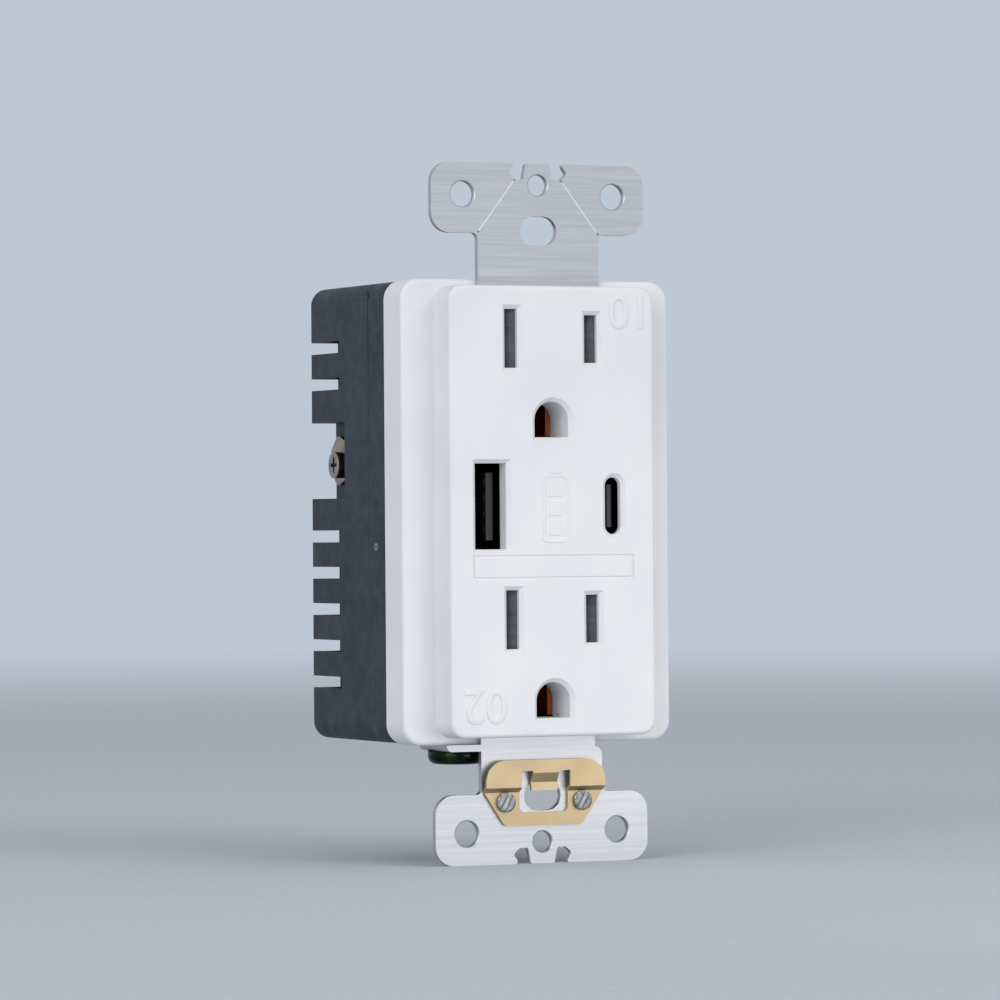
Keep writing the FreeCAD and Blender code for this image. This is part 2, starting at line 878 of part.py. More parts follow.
def turned(body, name, profile):
    """A full turn of a half section round the body's upright axis."""
    drawing = sketch(body, name + "_sketch", "front", ZERO, [outline(profile)])
    feature = body.newObject("PartDesign::Revolution", name)
    feature.Profile = drawing
    feature.ReferenceAxis = (drawing, ["V_Axis"])
    feature.Angle = 360.0
    doc.recompute()


def ground_contacts():
    """Copper hat sections on the back of the strap that grip the ground pins."""
    metal = s.leaf_thickness
    outer = s.ground_hole_width / 2 + s.chimney_wall + s.loose_gap
    foot = outer + s.contact_foot
    grip = s.ground_pin / 2
    knee = face + s.chimney_reach + s.loose_gap
    back = frame_back + s.contact_reach
    right = [
        (grip + metal, back),
        (grip + metal, knee + s.contact_knee + metal),
        (outer + metal, knee + metal),
        (outer + metal, seam + metal),
        (foot, seam + metal),
        (foot, seam),
        (outer, seam),
        (outer, knee),
        (grip, knee + s.contact_knee),
        (grip, back - metal),
    ]
    for outlet, line in OUTLETS.items():
        body = new_body(f"{outlet}_ground_contact")
        middle = ground_middle(line)
        half = s.contact_width / 2
        pad(body, "Hat", "top", (middle - half, middle + half), [outline(mirrored(right))])


def bus_strips():
    """Stamped strips that carry mains to both outlets, the terminal and the power board."""
    for pole, way in SIDES.items():
        body = new_body(f"{pole}_bus")
        tip = blade_side - s.blade_grip / 2 - s.leaf_thickness
        arm = s.leaf_width / 2
        upper, lower = s.upper_blade_line, s.lower_blade_line
        corners = [
            (bus_outer, lower - arm),
            (bus_outer, upper + arm),
            (tip, upper + arm),
            (tip, upper - arm),
            (bus_inner, upper - arm),
            (bus_inner, lower + arm),
            (tip, lower + arm),
            (tip, lower - arm),
        ]
        pad(body, "Strip", "front", (bus_front, band_floor), [outline(facing(corners, way))])
        leaves = [leaf for line in OUTLETS.values() for leaf in blade_leaves(line, way)]
        pad(body, "Leaves", "front", (bus_front - s.leaf_length, bus_front), leaves)
        lug = [
            (lug_inner, s.terminal_centre - s.clamp_width / 2),
            (lug_outer, s.terminal_centre - s.clamp_width / 2),
            (lug_outer, s.terminal_centre + s.clamp_width / 2),
            (lug_inner, s.terminal_centre + s.clamp_width / 2),
        ]
        pad(body, "Lug", "front", (band_floor, lug_end), [outline(facing(lug, way))])
        supply = outline(facing(supply_leg(lower), way))
        pad(body, "SupplyLeg", "front", (band_floor, rear_floor - s.loose_gap), [supply])
        hole = disc(screw_depth, screw_line, s.terminal_screw + s.screw_gap * 2)
        span = strip_across(lug_inner, lug_outer, way)
        pocket(body, "TerminalTap", "side", span, [hole])


def facing(corners, way):
    """Corners on the right, or their mirror image on the left."""
    return corners if way > 0 else [(-across, up) for across, up in reversed(corners)]


def supply_leg(line):
    """The leg that feeds the power board, across its edge."""
    edge = power_board_side
    low = line + s.leaf_width / 2 - s.supply_width
    high = line + s.leaf_width / 2
    return [(edge - s.strip_thickness, low), (edge, low), (edge, high), (edge - s.strip_thickness, high)]


def blade_leaves(line, way):
    """Two leaves that grip one blade."""
    leaves = []
    for away in (-1, 1):
        middle = blade_side + (s.blade_grip + s.leaf_thickness) / 2 * away
        leaves.append(centred(s.leaf_thickness, s.leaf_width, middle * way, line))
    return leaves


def terminals():
    """A pressure plate and its screw on each side, clamping a wire against the strip's lug."""
    low = s.terminal_centre - s.clamp_width / 2
    high = s.terminal_centre + s.clamp_width / 2
    front = lug_end - s.clamp_length
    chamfer = s.clamp_chamfer
    corners = [
        (front, low + chamfer),
        (front + s.clamp_taper, low),
        (lug_end - chamfer, low),
        (lug_end, low + chamfer),
        (lug_end, high - chamfer),
        (lug_end - chamfer, high),
        (front + s.clamp_taper, high),
        (front, high - chamfer),
    ]
    for pole, way in SIDES.items():
        body = new_body(f"{pole}_clamp")
        span = strip_across(lug_outer, clamp_outer, way)
        pad(body, "Plate", "side", span, [outline(corners)])
        hole = disc(screw_depth, screw_line, s.terminal_screw + s.screw_gap * 2)
        pocket(body, "ScrewHole", "side", span, [hole])
        terminal_screw(pole, way)


def terminal_screw(pole, way):
    head_outer = clamp_outer + s.terminal_head_height
    head_start = clamp_outer if way > 0 else -head_outer
    shank_start = clamp_outer - s.terminal_screw_length if way > 0 else -clamp_outer
    drive_start = head_outer - s.drive_depth if way > 0 else -head_outer
    name = pole.title()
    centre = (screw_depth, screw_line)
    head = rod(name + "Head", "x", (head_start, *centre), s.terminal_head_height, s.terminal_head)
    shank = rod(name + "Shank", "x", (shank_start, *centre), s.terminal_screw_length, s.terminal_screw)
    width = s.terminal_head * DRIVE_SHARE
    drive = cross_drive(name + "Drive", "x", (drive_start, *centre), width, s.drive_depth)
    blank = joined(name + "Blank", [head, shank])
    keep(cut(name + "Screw", blank, drive), f"{pole}_screw")


# Mouldings


def leg_places():
    """Where the cover's four snap legs pass through the frame: inner face, side and height."""
    inner = s.cover_width / 2 - s.cover_wall
    return [(inner, across, s.body_lift + s.leg_span / 2 * up) for across, up in CORNERS]


def strip_across(low, high, way):
    """A span on the right side, or its mirror image on the left."""
    return (low, high) if way > 0 else (-high, -low)


def face_cover():
    """The white raised face: slots, ground chimneys, port openings and legs in one moulding."""
    body = new_body("face_cover")
    rounded_block(body, "Block", s.cover_width, s.cover_height, s.body_lift, (face, seam), s.cover_corner)
    dress(body, "Fillet", "FaceEdge", s.cover_edge, lambda edge: lies_at(edge, 1, face))
    inner_width = s.cover_width - s.cover_wall * 2
    inner_height = s.cover_height - s.cover_wall * 2
    hollow = centred(inner_width, inner_height, ZERO, s.body_lift)
    pocket(body, "Hollow", "front", (inner_face, seam), [hollow])
    roofs = [tray_outline(line, s.gap) for line in OUTLETS.values()]
    pocket(body, "ShutterRooms", "front", (shutter_face, inner_face), roofs)
    chimneys = [chimney(line, s.chimney_wall) for line in OUTLETS.values()]
    pad(body, "Chimneys", "front", (inner_face, face + s.chimney_reach), chimneys)
    bores = [chimney(line, ZERO) for line in OUTLETS.values()]
    pocket(body, "GroundHoles", "front", (face, face + s.chimney_reach), bores)
    pocket(body, "BladeSlots", "front", (face, shutter_face), blade_slots())
    port_a = centred(s.usb_a_width, s.usb_a_height, s.usb_a_x, s.usb_centre)
    port_c = standing_slot(s.usb_c_width, s.usb_c_height, s.usb_c_x, s.usb_centre)
    pocket(body, "PortOpenings", "front", (face, inner_face), [port_a, port_c])
    room = (s.shell_wall + s.gap * 2) * 2
    seat = standing_slot(s.usb_c_width + room, s.usb_c_height + room, s.usb_c_x, s.usb_centre)
    pocket(body, "PortSeat", "front", (port_c_front() - s.gap, inner_face), [seat])
    dress(body, "Chamfer", "Mouths", s.mouth_chamfer, is_mouth)
    notch = s.neck_width / 2 + s.gap * 2
    beyond = s.body_lift + s.cover_height / 2 + s.cover_wall
    below = s.body_lift - s.cover_height / 2 - s.cover_wall
    notches = [
        rect(-notch, notch, beyond - s.cover_wall * 3, beyond),
        rect(-notch, notch, below, below + s.cover_wall * 3),
    ]
    pocket(body, "StrapNotches", "front", (-s.gap, seam), notches)
    rating_frame(body)
    snap_legs(body)


def is_mouth(edge):
    """Whether an edge on the face belongs to an opening, away from the face's own rim."""
    box = edge.BoundBox
    side_limit = number(s.cover_width / 2 - s.cover_corner)
    top_limit = number(s.body_lift + s.cover_height / 2 - s.cover_corner)
    low_limit = number(s.body_lift - s.cover_height / 2 + s.cover_corner)
    across = box.XMax < side_limit and box.XMin > -side_limit
    return across and box.ZMax < top_limit and box.ZMin > low_limit and lies_at(edge, 1, face)


def chimney(line, wall):
    """The D-shaped ground hole below a blade line, grown by wall."""
    if wall is ZERO:
        return arch(s.ground_hole_width, s.ground_hole_height, ZERO, ground_low(line))
    width = s.ground_hole_width + wall * 2
    height = s.ground_hole_height + wall * 2
    return arch(width, height, ZERO, ground_low(line) - wall)


def blade_slots():
    """The tall neutral slot and the short hot slot of both outlets."""
    slots = []
    for line in OUTLETS.values():
        for way, height in ((-1, s.neutral_slot_height), (1, s.hot_slot_height)):
            slots.append(centred(s.slot_width, height, blade_side * way, line))
    return slots


def rating_frame(body):
    """The thin engraved outline between the ports and the lower outlet, left empty."""
    width = s.rating_frame_width
    height = s.rating_frame_height
    ring = [
        centred(width, height, ZERO, s.rating_frame_centre),
        centred(width - s.rating_groove * 2, height - s.rating_groove * 2, ZERO, s.rating_frame_centre),
    ]
    pocket(body, "RatingFrame", "front", (face, face + s.groove_depth), ring)


def snap_legs(body):
    """Four legs on the rim, hooked behind the frame's front wall."""
    legs = []
    hooks = []
    for inner, way, up in leg_places():
        low, high = strip_across(inner, inner + s.leg_thickness, way)
        legs.append(rect(low, high, up - s.leg_width / 2, up + s.leg_width / 2))
        tip = strip_across(inner, inner + s.leg_thickness + s.leg_hook, way)
        hooks.append(rect(*tip, up - s.leg_width / 2, up + s.leg_width / 2))
    behind = seam + s.frame_wall + s.gap
    pad(body, "Legs", "front", (seam, behind), legs)
    pad(body, "Hooks", "front", (behind, behind + s.leg_hook_length), hooks)


def front_frame():
    """The white frame behind the cover, which carries the strap on its front."""
    body = new_body("front_frame")
    rounded_block(body, "Block", s.frame_width, s.frame_height, s.body_lift, (seam, frame_back),
                  s.frame_corner)
    dress(body, "Fillet", "FrontEdge", s.frame_edge, lambda edge: lies_at(edge, 1, seam))
    inner = seam + s.frame_wall
    width = s.frame_width - s.frame_wall * 2
    height = s.frame_height - s.frame_wall * 2
    pocket(body, "Hollow", "front", (inner, frame_back), [centred(width, height, ZERO, s.body_lift)])
    pad(body, "Bosses", "front", (inner, frame_back), corner_discs(boss_size))
    pocket(body, "PilotHoles", "front", (inner, frame_back), corner_discs(s.assembly_screw + s.screw_gap * 2))
    windows = [usb_window()]
    for line in OUTLETS.values():
        windows.append(blade_window(line))
        windows.append(contact_window(line))
    pocket(body, "Windows", "front", (seam, inner), windows)
    slots = []
    for side_in, way, up in leg_places():
        low, high = strip_across(side_in - s.gap, side_in + s.leg_thickness + s.leg_hook + s.gap, way)
        slots.append(rect(low, high, up - s.leg_width / 2 - s.gap, up + s.leg_width / 2 + s.gap))
    pocket(body, "LegSlots", "front", (seam, inner), slots)
    screw_relief(body)


def contact_window(line):
    """Room in the frame for a ground contact and its chimney."""
    half = s.ground_hole_width / 2 + s.chimney_wall + s.loose_gap * 2
    foot = half + s.contact_foot
    middle = ground_middle(line)
    return rect(-foot, foot, middle - half, middle + half)


def corner_discs(diameter):
    """Circles at the four assembly screws."""
    shapes = []
    for across, up in CORNERS:
        shapes.append(disc(boss_side * across, s.body_lift + boss_rise * up, diameter))
    return shapes


def screw_relief(body):
    """Room for the ground screw's end in a lower wall."""
    high = ground_screw_top + s.loose_gap
    hole = disc(s.ground_screw_x, s.ground_screw_y, s.ground_screw + s.loose_gap * 4)
    pocket(body, "ScrewRelief", "top", (frame_low - s.gap, high), [hole])


def middle_housing():
    """The dark band that holds the contact strips and the port board."""
    body = new_body("middle_housing")
    rounded_block(body, "Block", s.housing_width, s.housing_height, s.body_lift, (frame_back, band_back),
                  s.housing_corner)
    width = s.housing_width - s.housing_wall * 2
    height = s.housing_height - s.housing_wall * 2
    pocket(body, "Hollow", "front", (frame_back, band_floor), [centred(width, height, ZERO, s.body_lift)])
    pad(body, "Bosses", "front", (frame_back, band_floor), corner_discs(boss_size))
    holes = corner_discs(s.assembly_screw + s.loose_gap * 2)
    pocket(body, "ScrewHoles", "front", (frame_back, band_back), holes)
    width = (usb_board_side - s.board_rest) * 2
    height = s.usb_board_height - s.board_rest * 2
    openings = [centred(width, height, ZERO, s.usb_centre)]
    for way in SIDES.values():
        openings.append(lug_slit(way))
        openings.append(supply_slit(way))
    pocket(body, "Openings", "front", (band_floor, band_back), openings)
    screw_relief(body)


def lug_slit(way):
    low, high = strip_across(lug_inner - s.gap, lug_outer + s.gap, way)
    half = s.clamp_width / 2 + s.gap
    return rect(low, high, s.terminal_centre - half, s.terminal_centre + half)


def supply_slit(way):
    edge = power_board_side
    low, high = strip_across(edge - s.strip_thickness - s.gap, edge + s.gap, way)
    top = s.lower_blade_line + s.leaf_width / 2
    return rect(low, high, top - s.supply_width - s.gap, top + s.gap)


def rear_housing():
    """The dark rear shell: terminal recesses, wrap-round vents and screw bosses."""
    body = new_body("rear_housing")
    rounded_block(body, "Block", s.housing_width, s.housing_height, s.body_lift, (band_back, rear_back),
                  s.housing_corner)
    dress(body, "Fillet", "RearEdge", s.rear_edge, lambda edge: lies_at(edge, 1, rear_back))
    dress(body, "Chamfer", "PartingEdge", s.parting_chamfer, lambda edge: lies_at(edge, 1, band_back))
    width = s.housing_width - s.housing_wall * 2
    height = s.housing_height - s.housing_wall * 2
    pocket(body, "Hollow", "front", (band_back, rear_floor), [centred(width, height, ZERO, s.body_lift)])
    recess_front = rear_back - s.recess_length
    wall = s.recess_wall
    half = s.recess_height / 2
    cheeks = []
    rooms = []
    for way in SIDES.values():
        cheek = strip_across(recess_floor - wall, s.housing_width / 2 - s.gap, way)
        cheeks.append(rect(*cheek, s.terminal_centre - half - wall, s.terminal_centre + half + wall))
        room = strip_across(recess_floor, s.housing_width / 2 + s.housing_wall, way)
        rooms.append(rect(*room, s.terminal_centre - half, s.terminal_centre + half))
    pad(body, "RecessWalls", "front", (recess_front - wall, rear_floor), cheeks)
    beyond = rear_back + s.housing_wall
    pocket(body, "Recesses", "front", (recess_front, beyond), rooms)
    slits = [lug_slit(way) for way in SIDES.values()]
    pocket(body, "LugSlits", "front", (recess_front - wall - s.gap, recess_front), slits)
    for pole, way in SIDES.items():
        span = strip_across(recess_floor - wall, recess_floor, way)
        hole = disc(screw_depth, screw_line, s.terminal_screw + s.loose_gap * 2)
        pocket(body, pole.title() + "ScrewRoom", "side", span, [hole])
    pad(body, "Bosses", "front", (band_back, rear_floor), corner_discs(boss_size))
    pocket(body, "ScrewHoles", "front", (band_back, beyond), corner_discs(s.assembly_screw + s.loose_gap * 2))
    heads = corner_discs(s.assembly_head + s.loose_gap * 2)
    pocket(body, "HeadSinks", "front", (head_seat(), beyond), heads)
    posts = [disc(across, up, s.board_post) for across, up in post_places()]
    pad(body, "BoardPosts", "front", (power_board_back, rear_floor), posts)
    vents(body)


def head_seat():
    return rear_back - s.assembly_head_height - s.loose_gap


def post_places():
    across = power_board_side - s.board_post
    up = s.power_board_height / 2 - s.board_post
    return [(across * x, s.body_lift + up * z) for x, z in CORNERS]


def vents(body):
    """Slots that open at each rear corner, two above the terminal recess and five below."""
    lines = [s.top_vent - s.vent_pitch * step for step in range(2)]
    lines += [s.lower_vent - s.vent_pitch * step for step in range(5)]
    beyond = rear_back + s.housing_wall
    start = rear_back - s.vent_length
    slots = [rect(start, beyond, line - s.vent_height / 2, line + s.vent_height / 2) for line in lines]
    outer = s.housing_width / 2 + s.housing_wall
    for name, way in (("LeftVents", -1), ("RightVents", 1)):
        span = strip_across(s.housing_width / 2 - s.vent_wrap, outer, way)
        pocket(body, name, "side", span, slots)
    dress(body, "Fillet", "VentCorners", s.vent_corner, lambda edge: runs_along(edge, 0)
          and lies_at(edge, 1, start))


# Shutters


def shutter_span():
    """How far a shutter reaches to the left and right at rest."""
    left = -blade_side - s.shutter_travel - s.shutter_window / 2 - s.tray_wall
    right = blade_side + s.slot_width / 2 + s.tray_wall
    return left, right


def tray_outline(line, room):
    """The outline of a shutter's tray, grown by room."""
    left, right = shutter_span()
    grow = s.slide_gap + s.tray_wall + room
    half = s.shutter_height / 2 + grow
    return rect(left - grow, right + s.shutter_travel + grow, line - half, line + half)


def shutter_frames():
    """A tray on the strap behind each pair of blade slots, with a spring post."""
    left, right = shutter_span()
    floor = -s.tray_floor
    for outlet, line in OUTLETS.items():
        body = new_body(f"{outlet}_shutter_tray")
        pad(body, "Block", "front", (shutter_face + s.gap, ZERO), [tray_outline(line, ZERO)])
        half = s.shutter_height / 2 + s.slide_gap
        room = rect(left - s.slide_gap, right + s.shutter_travel + s.slide_gap, line - half, line + half)
        pocket(body, "Room", "front", (shutter_face + s.gap, floor), [room])
        ways = []
        for way, height in ((-1, s.neutral_slot_height), (1, s.hot_slot_height)):
            ways.append(centred(s.slot_width + s.loose_gap, height + s.loose_gap, blade_side * way, line))
        pocket(body, "BladeWays", "front", (floor, ZERO), ways)
        post = rect(post_left(), post_left() + s.tray_wall, line - s.tray_wall, line + s.tray_wall)
        pad(body, "SpringPost", "front", (shutter_face + s.loose_gap, floor), [post])


def post_left():
    """The face of the fixed post that the spring pushes on."""
    return spring_start() + s.shutter_travel * 2


def spring_start():
    """The edge of the shutter's own spring room."""
    return -blade_side + s.slot_width / 2 + s.tray_wall


def shutters():
    """Sliders with one ramp for each blade, closed at rest over both slots."""
    left, right = shutter_span()
    front = shutter_face + s.slide_gap
    back = front + s.shutter_thickness
    half = s.shutter_height / 2
    for outlet, line in OUTLETS.items():
        body = new_body(f"{outlet}_shutter")
        pad(body, "Plate", "front", (front, back), [rect(left, right, line - half, line + half)])
        windows = []
        for way in SIDES.values():
            middle = blade_side * way - s.shutter_travel
            windows.append(centred(s.shutter_window, s.shutter_height - s.tray_wall * 2, middle, line))
        room_end = blade_side - s.shutter_travel - s.shutter_window / 2 - s.tray_wall
        half_room = s.spring_diameter / 2 + s.slide_gap
        windows.append(rect(spring_start(), room_end, line - half_room, line + half_room))
        pocket(body, "Windows", "front", (front, back), windows)
        rise = s.ramp_rise
        ramps = []
        for way in SIDES.values():
            edge = blade_side * way - s.shutter_travel + s.shutter_window / 2
            crest = blade_side * way + s.slot_width / 2
            ramps.append(outline([(edge, front), (crest, front), (edge, front + rise)]))
        reach_up = s.neutral_slot_height / 2 + s.slide_gap
        pocket(body, "Ramps", "top", (line - reach_up, line + reach_up), ramps)


def springs():
    """Fine coil springs that hold the shutters closed."""
    start = number(spring_start())
    length = number(post_left()) - start
    wire = s.spring_wire.value
    radius = (s.spring_diameter.value - wire) / 2
    middle = number(shutter_face + s.slide_gap + s.shutter_thickness / 2)
    pitch = (length - wire) / s.spring_turns.value
    for outlet, line in OUTLETS.items():
        helix = Part.makeHelix(pitch, length - wire, radius)
        ring = Part.makePolygon(hexagon(radius, wire / 2))
        coil = Part.Wire(helix).makePipeShell([Part.Wire(ring)], True, True)
        spring = doc.addObject("Part::Feature", f"{outlet.title()}Spring")
        spring.Shape = coil
        base = FreeCAD.Vector(start + wire / 2, middle, line.value)
        spring.Placement = FreeCAD.Placement(base, AIMS["x"])
        keep(spring, f"{outlet}_shutter_spring")


def hexagon(radius, size):
    """A closed six-sided ring round the start of a helix."""
    turns = [math.pi / 3 * step for step in range(7)]
    return [FreeCAD.Vector(radius + size * math.cos(turn), 0, size * math.sin(turn)) for turn in turns]


# Charging ports


def port_c_front():
    return face + s.usb_c_setback


def port_a():
    """The large port: shell, tongue with its foot, and four contact strips."""
    x, z = s.usb_a_x, s.usb_centre
    front = inner_face + s.gap
    wall = s.shell_wall
    shell = new_body("usb_a_shell")
    opening = centred(s.usb_a_width + s.gap, s.usb_a_height + s.gap, x, z)
    around = centred(s.usb_a_width + s.gap + wall * 2, s.usb_a_height + s.gap + wall * 2, x, z)
    pad(shell, "Shell", "front", (front, usb_board_front), [around])
    pocket(shell, "Mouth", "front", (front, usb_board_front), [opening])
    tongue = new_body("usb_a_tongue")
    foot = usb_board_front - s.port_foot
    blade_x = x + s.usb_a_tongue_shift
    base = centred(s.usb_a_width, s.usb_a_height, x, z)
    pad(tongue, "Foot", "front", (foot, usb_board_front), [base])
    blade = centred(s.usb_a_tongue, s.usb_a_tongue_height, blade_x, z)
    tip = front + s.tongue_setback
    pad(tongue, "Blade", "front", (tip, foot), [blade])
    strips = []
    face_x = blade_x - s.usb_a_tongue / 2
    for index in range(4):
        middle = z + s.usb_a_contact_pitch * (index - 1.5)
        half = s.usb_a_contact_width / 2
        across = (face_x - s.usb_a_contact_thickness, face_x)
        up = (middle - half, middle + half)
        strips.append(block(f"ContactStrip{index}", across, (tip + s.loose_gap, foot), up))
    keep(group("ContactStrips", strips), "usb_a_contacts")


def port_c():
    """The small port: an oblong shell and its thin tongue."""
    x, z = s.usb_c_x, s.usb_centre
    front = port_c_front()
    wall = s.shell_wall
    shell = new_body("usb_c_shell")
    around = standing_slot(s.usb_c_width + wall * 2, s.usb_c_height + wall * 2, x, z)
    opening = standing_slot(s.usb_c_width, s.usb_c_height, x, z)
    pad(shell, "Shell", "front", (front, usb_board_front), [around])
    pocket(shell, "Mouth", "front", (front, usb_board_front), [opening])
    tongue = new_body("usb_c_tongue")
    foot = usb_board_front - s.port_foot
    base = standing_slot(s.usb_c_width, s.usb_c_height, x, z)
    pad(tongue, "Foot", "front", (foot, usb_board_front), [base])
    blade = centred(s.usb_c_tongue, s.usb_c_tongue_height, x, z)
    pad(tongue, "Blade", "front", (front + s.loose_gap, foot), [blade])


# Power supply behind the ports


def boards():
    """The port board on the band's floor and the power board on the rear shell's posts."""
    usb = new_body("usb_board")
    pad(usb, "Plate", "front", (usb_board_front, band_floor),
        [centred(usb_board_side * 2, s.usb_board_height, ZERO, s.usb_centre)])
    pocket(usb, "PinHoles", "front", (usb_board_front, band_floor), link_pin_discs(s.gap))
    power = new_body("power_board")
    pad(power, "Plate", "front", (power_board_front, power_board_back),
        [centred(power_board_side * 2, s.power_board_height, ZERO, s.body_lift)])
    notches = []
    for way in SIDES.values():
        edge = power_board_side
        low, high = strip_across(edge - s.strip_thickness - s.gap, edge + s.board_rest, way)
        top = s.lower_blade_line + s.leaf_width / 2
        notches.append(rect(low, high, top - s.supply_width - s.gap, top + s.gap))
    pocket(power, "PinHoles", "front", (power_board_front, power_board_back), link_pin_discs(s.gap))
    pocket(power, "SupplyNotches", "front", (power_board_front, power_board_back), notches)


def link_places():
    """A row of four pins between the two boards."""
    up = s.usb_centre - s.link_pin_drop
    return [(s.link_pin_pitch * (index - 1.5), up) for index in range(4)]


def link_pin_discs(room):
    return [disc(across, up, s.link_pin + room * 2) for across, up in link_places()]


def link_pins():
    front = usb_board_front - s.link_pin_end
    length = power_board_back + s.link_pin_end - front
    pins = []
    for index, (across, up) in enumerate(link_places()):
        pins.append(rod(f"Pin{index}", "y", (across, front, up), length, s.link_pin))
    keep(group("Pins", pins), "link_pins")


def insulating_sheet():
    """A thin sheet that parts the strips from the power supply."""
    body = new_body("insulating_sheet")
    width = (power_board_side - s.strip_thickness - s.loose_gap) * 2
    span = (band_back, band_back + s.sheet_thickness)
    pad(body, "Sheet", "front", span, [centred(width, s.power_board_height, ZERO, s.body_lift)])
    pocket(body, "PinHoles", "front", span, link_pin_discs(s.loose_gap))


def transformer():
    """A ferrite core round a wound bobbin that stands on the power board."""
    middle = s.body_lift + s.core_centre
    core_back = power_board_front - s.core_stand
    core_front = core_back - s.core_leg
    core = new_body("transformer_core")
    pad(core, "Core", "front", (core_front, core_back), [centred(s.core_width, s.core_height, ZERO, middle)])
    room = s.core_height / 2 - s.core_rail
    windows = []
    for way in (-1, 1):
        low, high = strip_across(s.core_leg / 2, s.core_width / 2 - s.core_side, way)
        windows.append(rect(low, high, middle - room, middle + room))
    pocket(core, "Windows", "front", (core_front, core_back), windows)
    winding = new_body("transformer_winding")
    width = s.core_width - (s.core_side + s.gap) * 2
    height = (room - s.gap) * 2
    span = (core_front - s.core_stand, power_board_front)
    pad(winding, "Winding", "front", span, [centred(width, height, ZERO, middle)])
    dress(winding, "Fillet", "Rounding", s.winding_round, lambda edge: runs_along(edge, 2))
    hole = rect(-s.core_leg / 2 - s.gap, s.core_leg / 2 + s.gap, core_front - s.gap, core_back + s.gap)
    pocket(winding, "LegHole", "top", (middle - height / 2, middle + height / 2), [hole])


def standing(name, across, up, length, diameter):
    """A round part that stands on the power board."""
    return rod(name, "y", (across, power_board_front - length, up), length, diameter)


def board_parts():
    """Capacitors, a fuse and small blocks that stand on the power board."""
    bulk = []
    for index, way in enumerate((-1, 1)):
        across = s.bulk_spacing / 2 * way
        up = power_board_low + s.bulk_inset
        bulk.append(standing(f"BulkCapacitor{index}", across, up, s.bulk_length, s.bulk_diameter))
    keep(group("BulkCapacitors", bulk), "bulk_capacitors")
    output = []
    chips = []
    for index in range(3):
        across = s.output_spacing * (index - 1)
        name = f"OutputCapacitor{index}"
        line = power_board_low + s.output_inset
        output.append(standing(name, across, line, s.output_length, s.output_diameter))
        middle = s.chip_spacing * (index - 1)
        span = (middle - s.chip_width / 2, middle + s.chip_width / 2)
        depth = (power_board_front - s.chip_thickness, power_board_front)
        up = (s.chip_line - s.chip_height / 2, s.chip_line + s.chip_height / 2)
        chips.append(block(f"Chip{index}", span, depth, up))
    keep(group("OutputCapacitors", output), "output_capacitors")
    keep(group("Chips", chips), "board_chips")
    fuse_across = -(power_board_side - s.fuse_inset)
    keep(standing("Fuse", fuse_across, s.fuse_line, s.fuse_length, s.fuse_diameter), "fuse")


def assembly_screws():
    """Four long screws from the rear into the frame, each a separate solid."""
    front = seam + s.frame_wall + s.loose_gap
    screws = []
    for index, (across, up) in enumerate(CORNERS):
        x = boss_side * across
        z = s.body_lift + boss_rise * up
        shank = rod(f"Shank{index}", "y", (x, front, z), head_seat() - front, s.assembly_screw)
        head = rod(f"Head{index}", "y", (x, head_seat(), z), s.assembly_head_height, s.assembly_head)
        place = (x, head_seat() + s.assembly_head_height - s.drive_depth, z)
        drive = cross_drive(f"Drive{index}", "y", place, s.assembly_head * DRIVE_SHARE, s.drive_depth)
        screws.append(cut(f"Screw{index}", joined(f"Blank{index}", [head, shank]), drive))
    keep(group("AssemblyScrews", screws), "assembly_screws")


def build():
    mounting_strap()
    ground_clip()
    clip_rivets()
    ground_screw()
    ground_contacts()
    bus_strips()
    terminals()
    face_cover()
    front_frame()
    middle_housing()
    rear_housing()
    shutter_frames()
    shutters()
    springs()
    port_a()
    port_c()
    boards()
    link_pins()
    insulating_sheet()
    transformer()
    board_parts()
    assembly_screws()
    doc.recompute()


def check():
    """Stops if anything in the document failed."""
    for item in doc.Objects:
        if "Invalid" in item.State or "Error" in item.State:
            raise ValueError(f"{item.Label} failed: {item.State}")
    for piece in pieces:
        if piece.Shape.isNull() or not piece.Shape.isValid():
            raise ValueError(f"{piece.Label} has no valid shape")


def write():
    os.makedirs("parts", exist_ok=True)
    for piece in pieces:
        shape = piece.Shape
        shape.exportStep(f"parts/{piece.Label}.step")
        print(piece.Label, len(shape.Solids), round(shape.Volume, 2))


build()
check()
write()
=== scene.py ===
import math

import bmesh
import bpy
from mathutils import Matrix, Vector


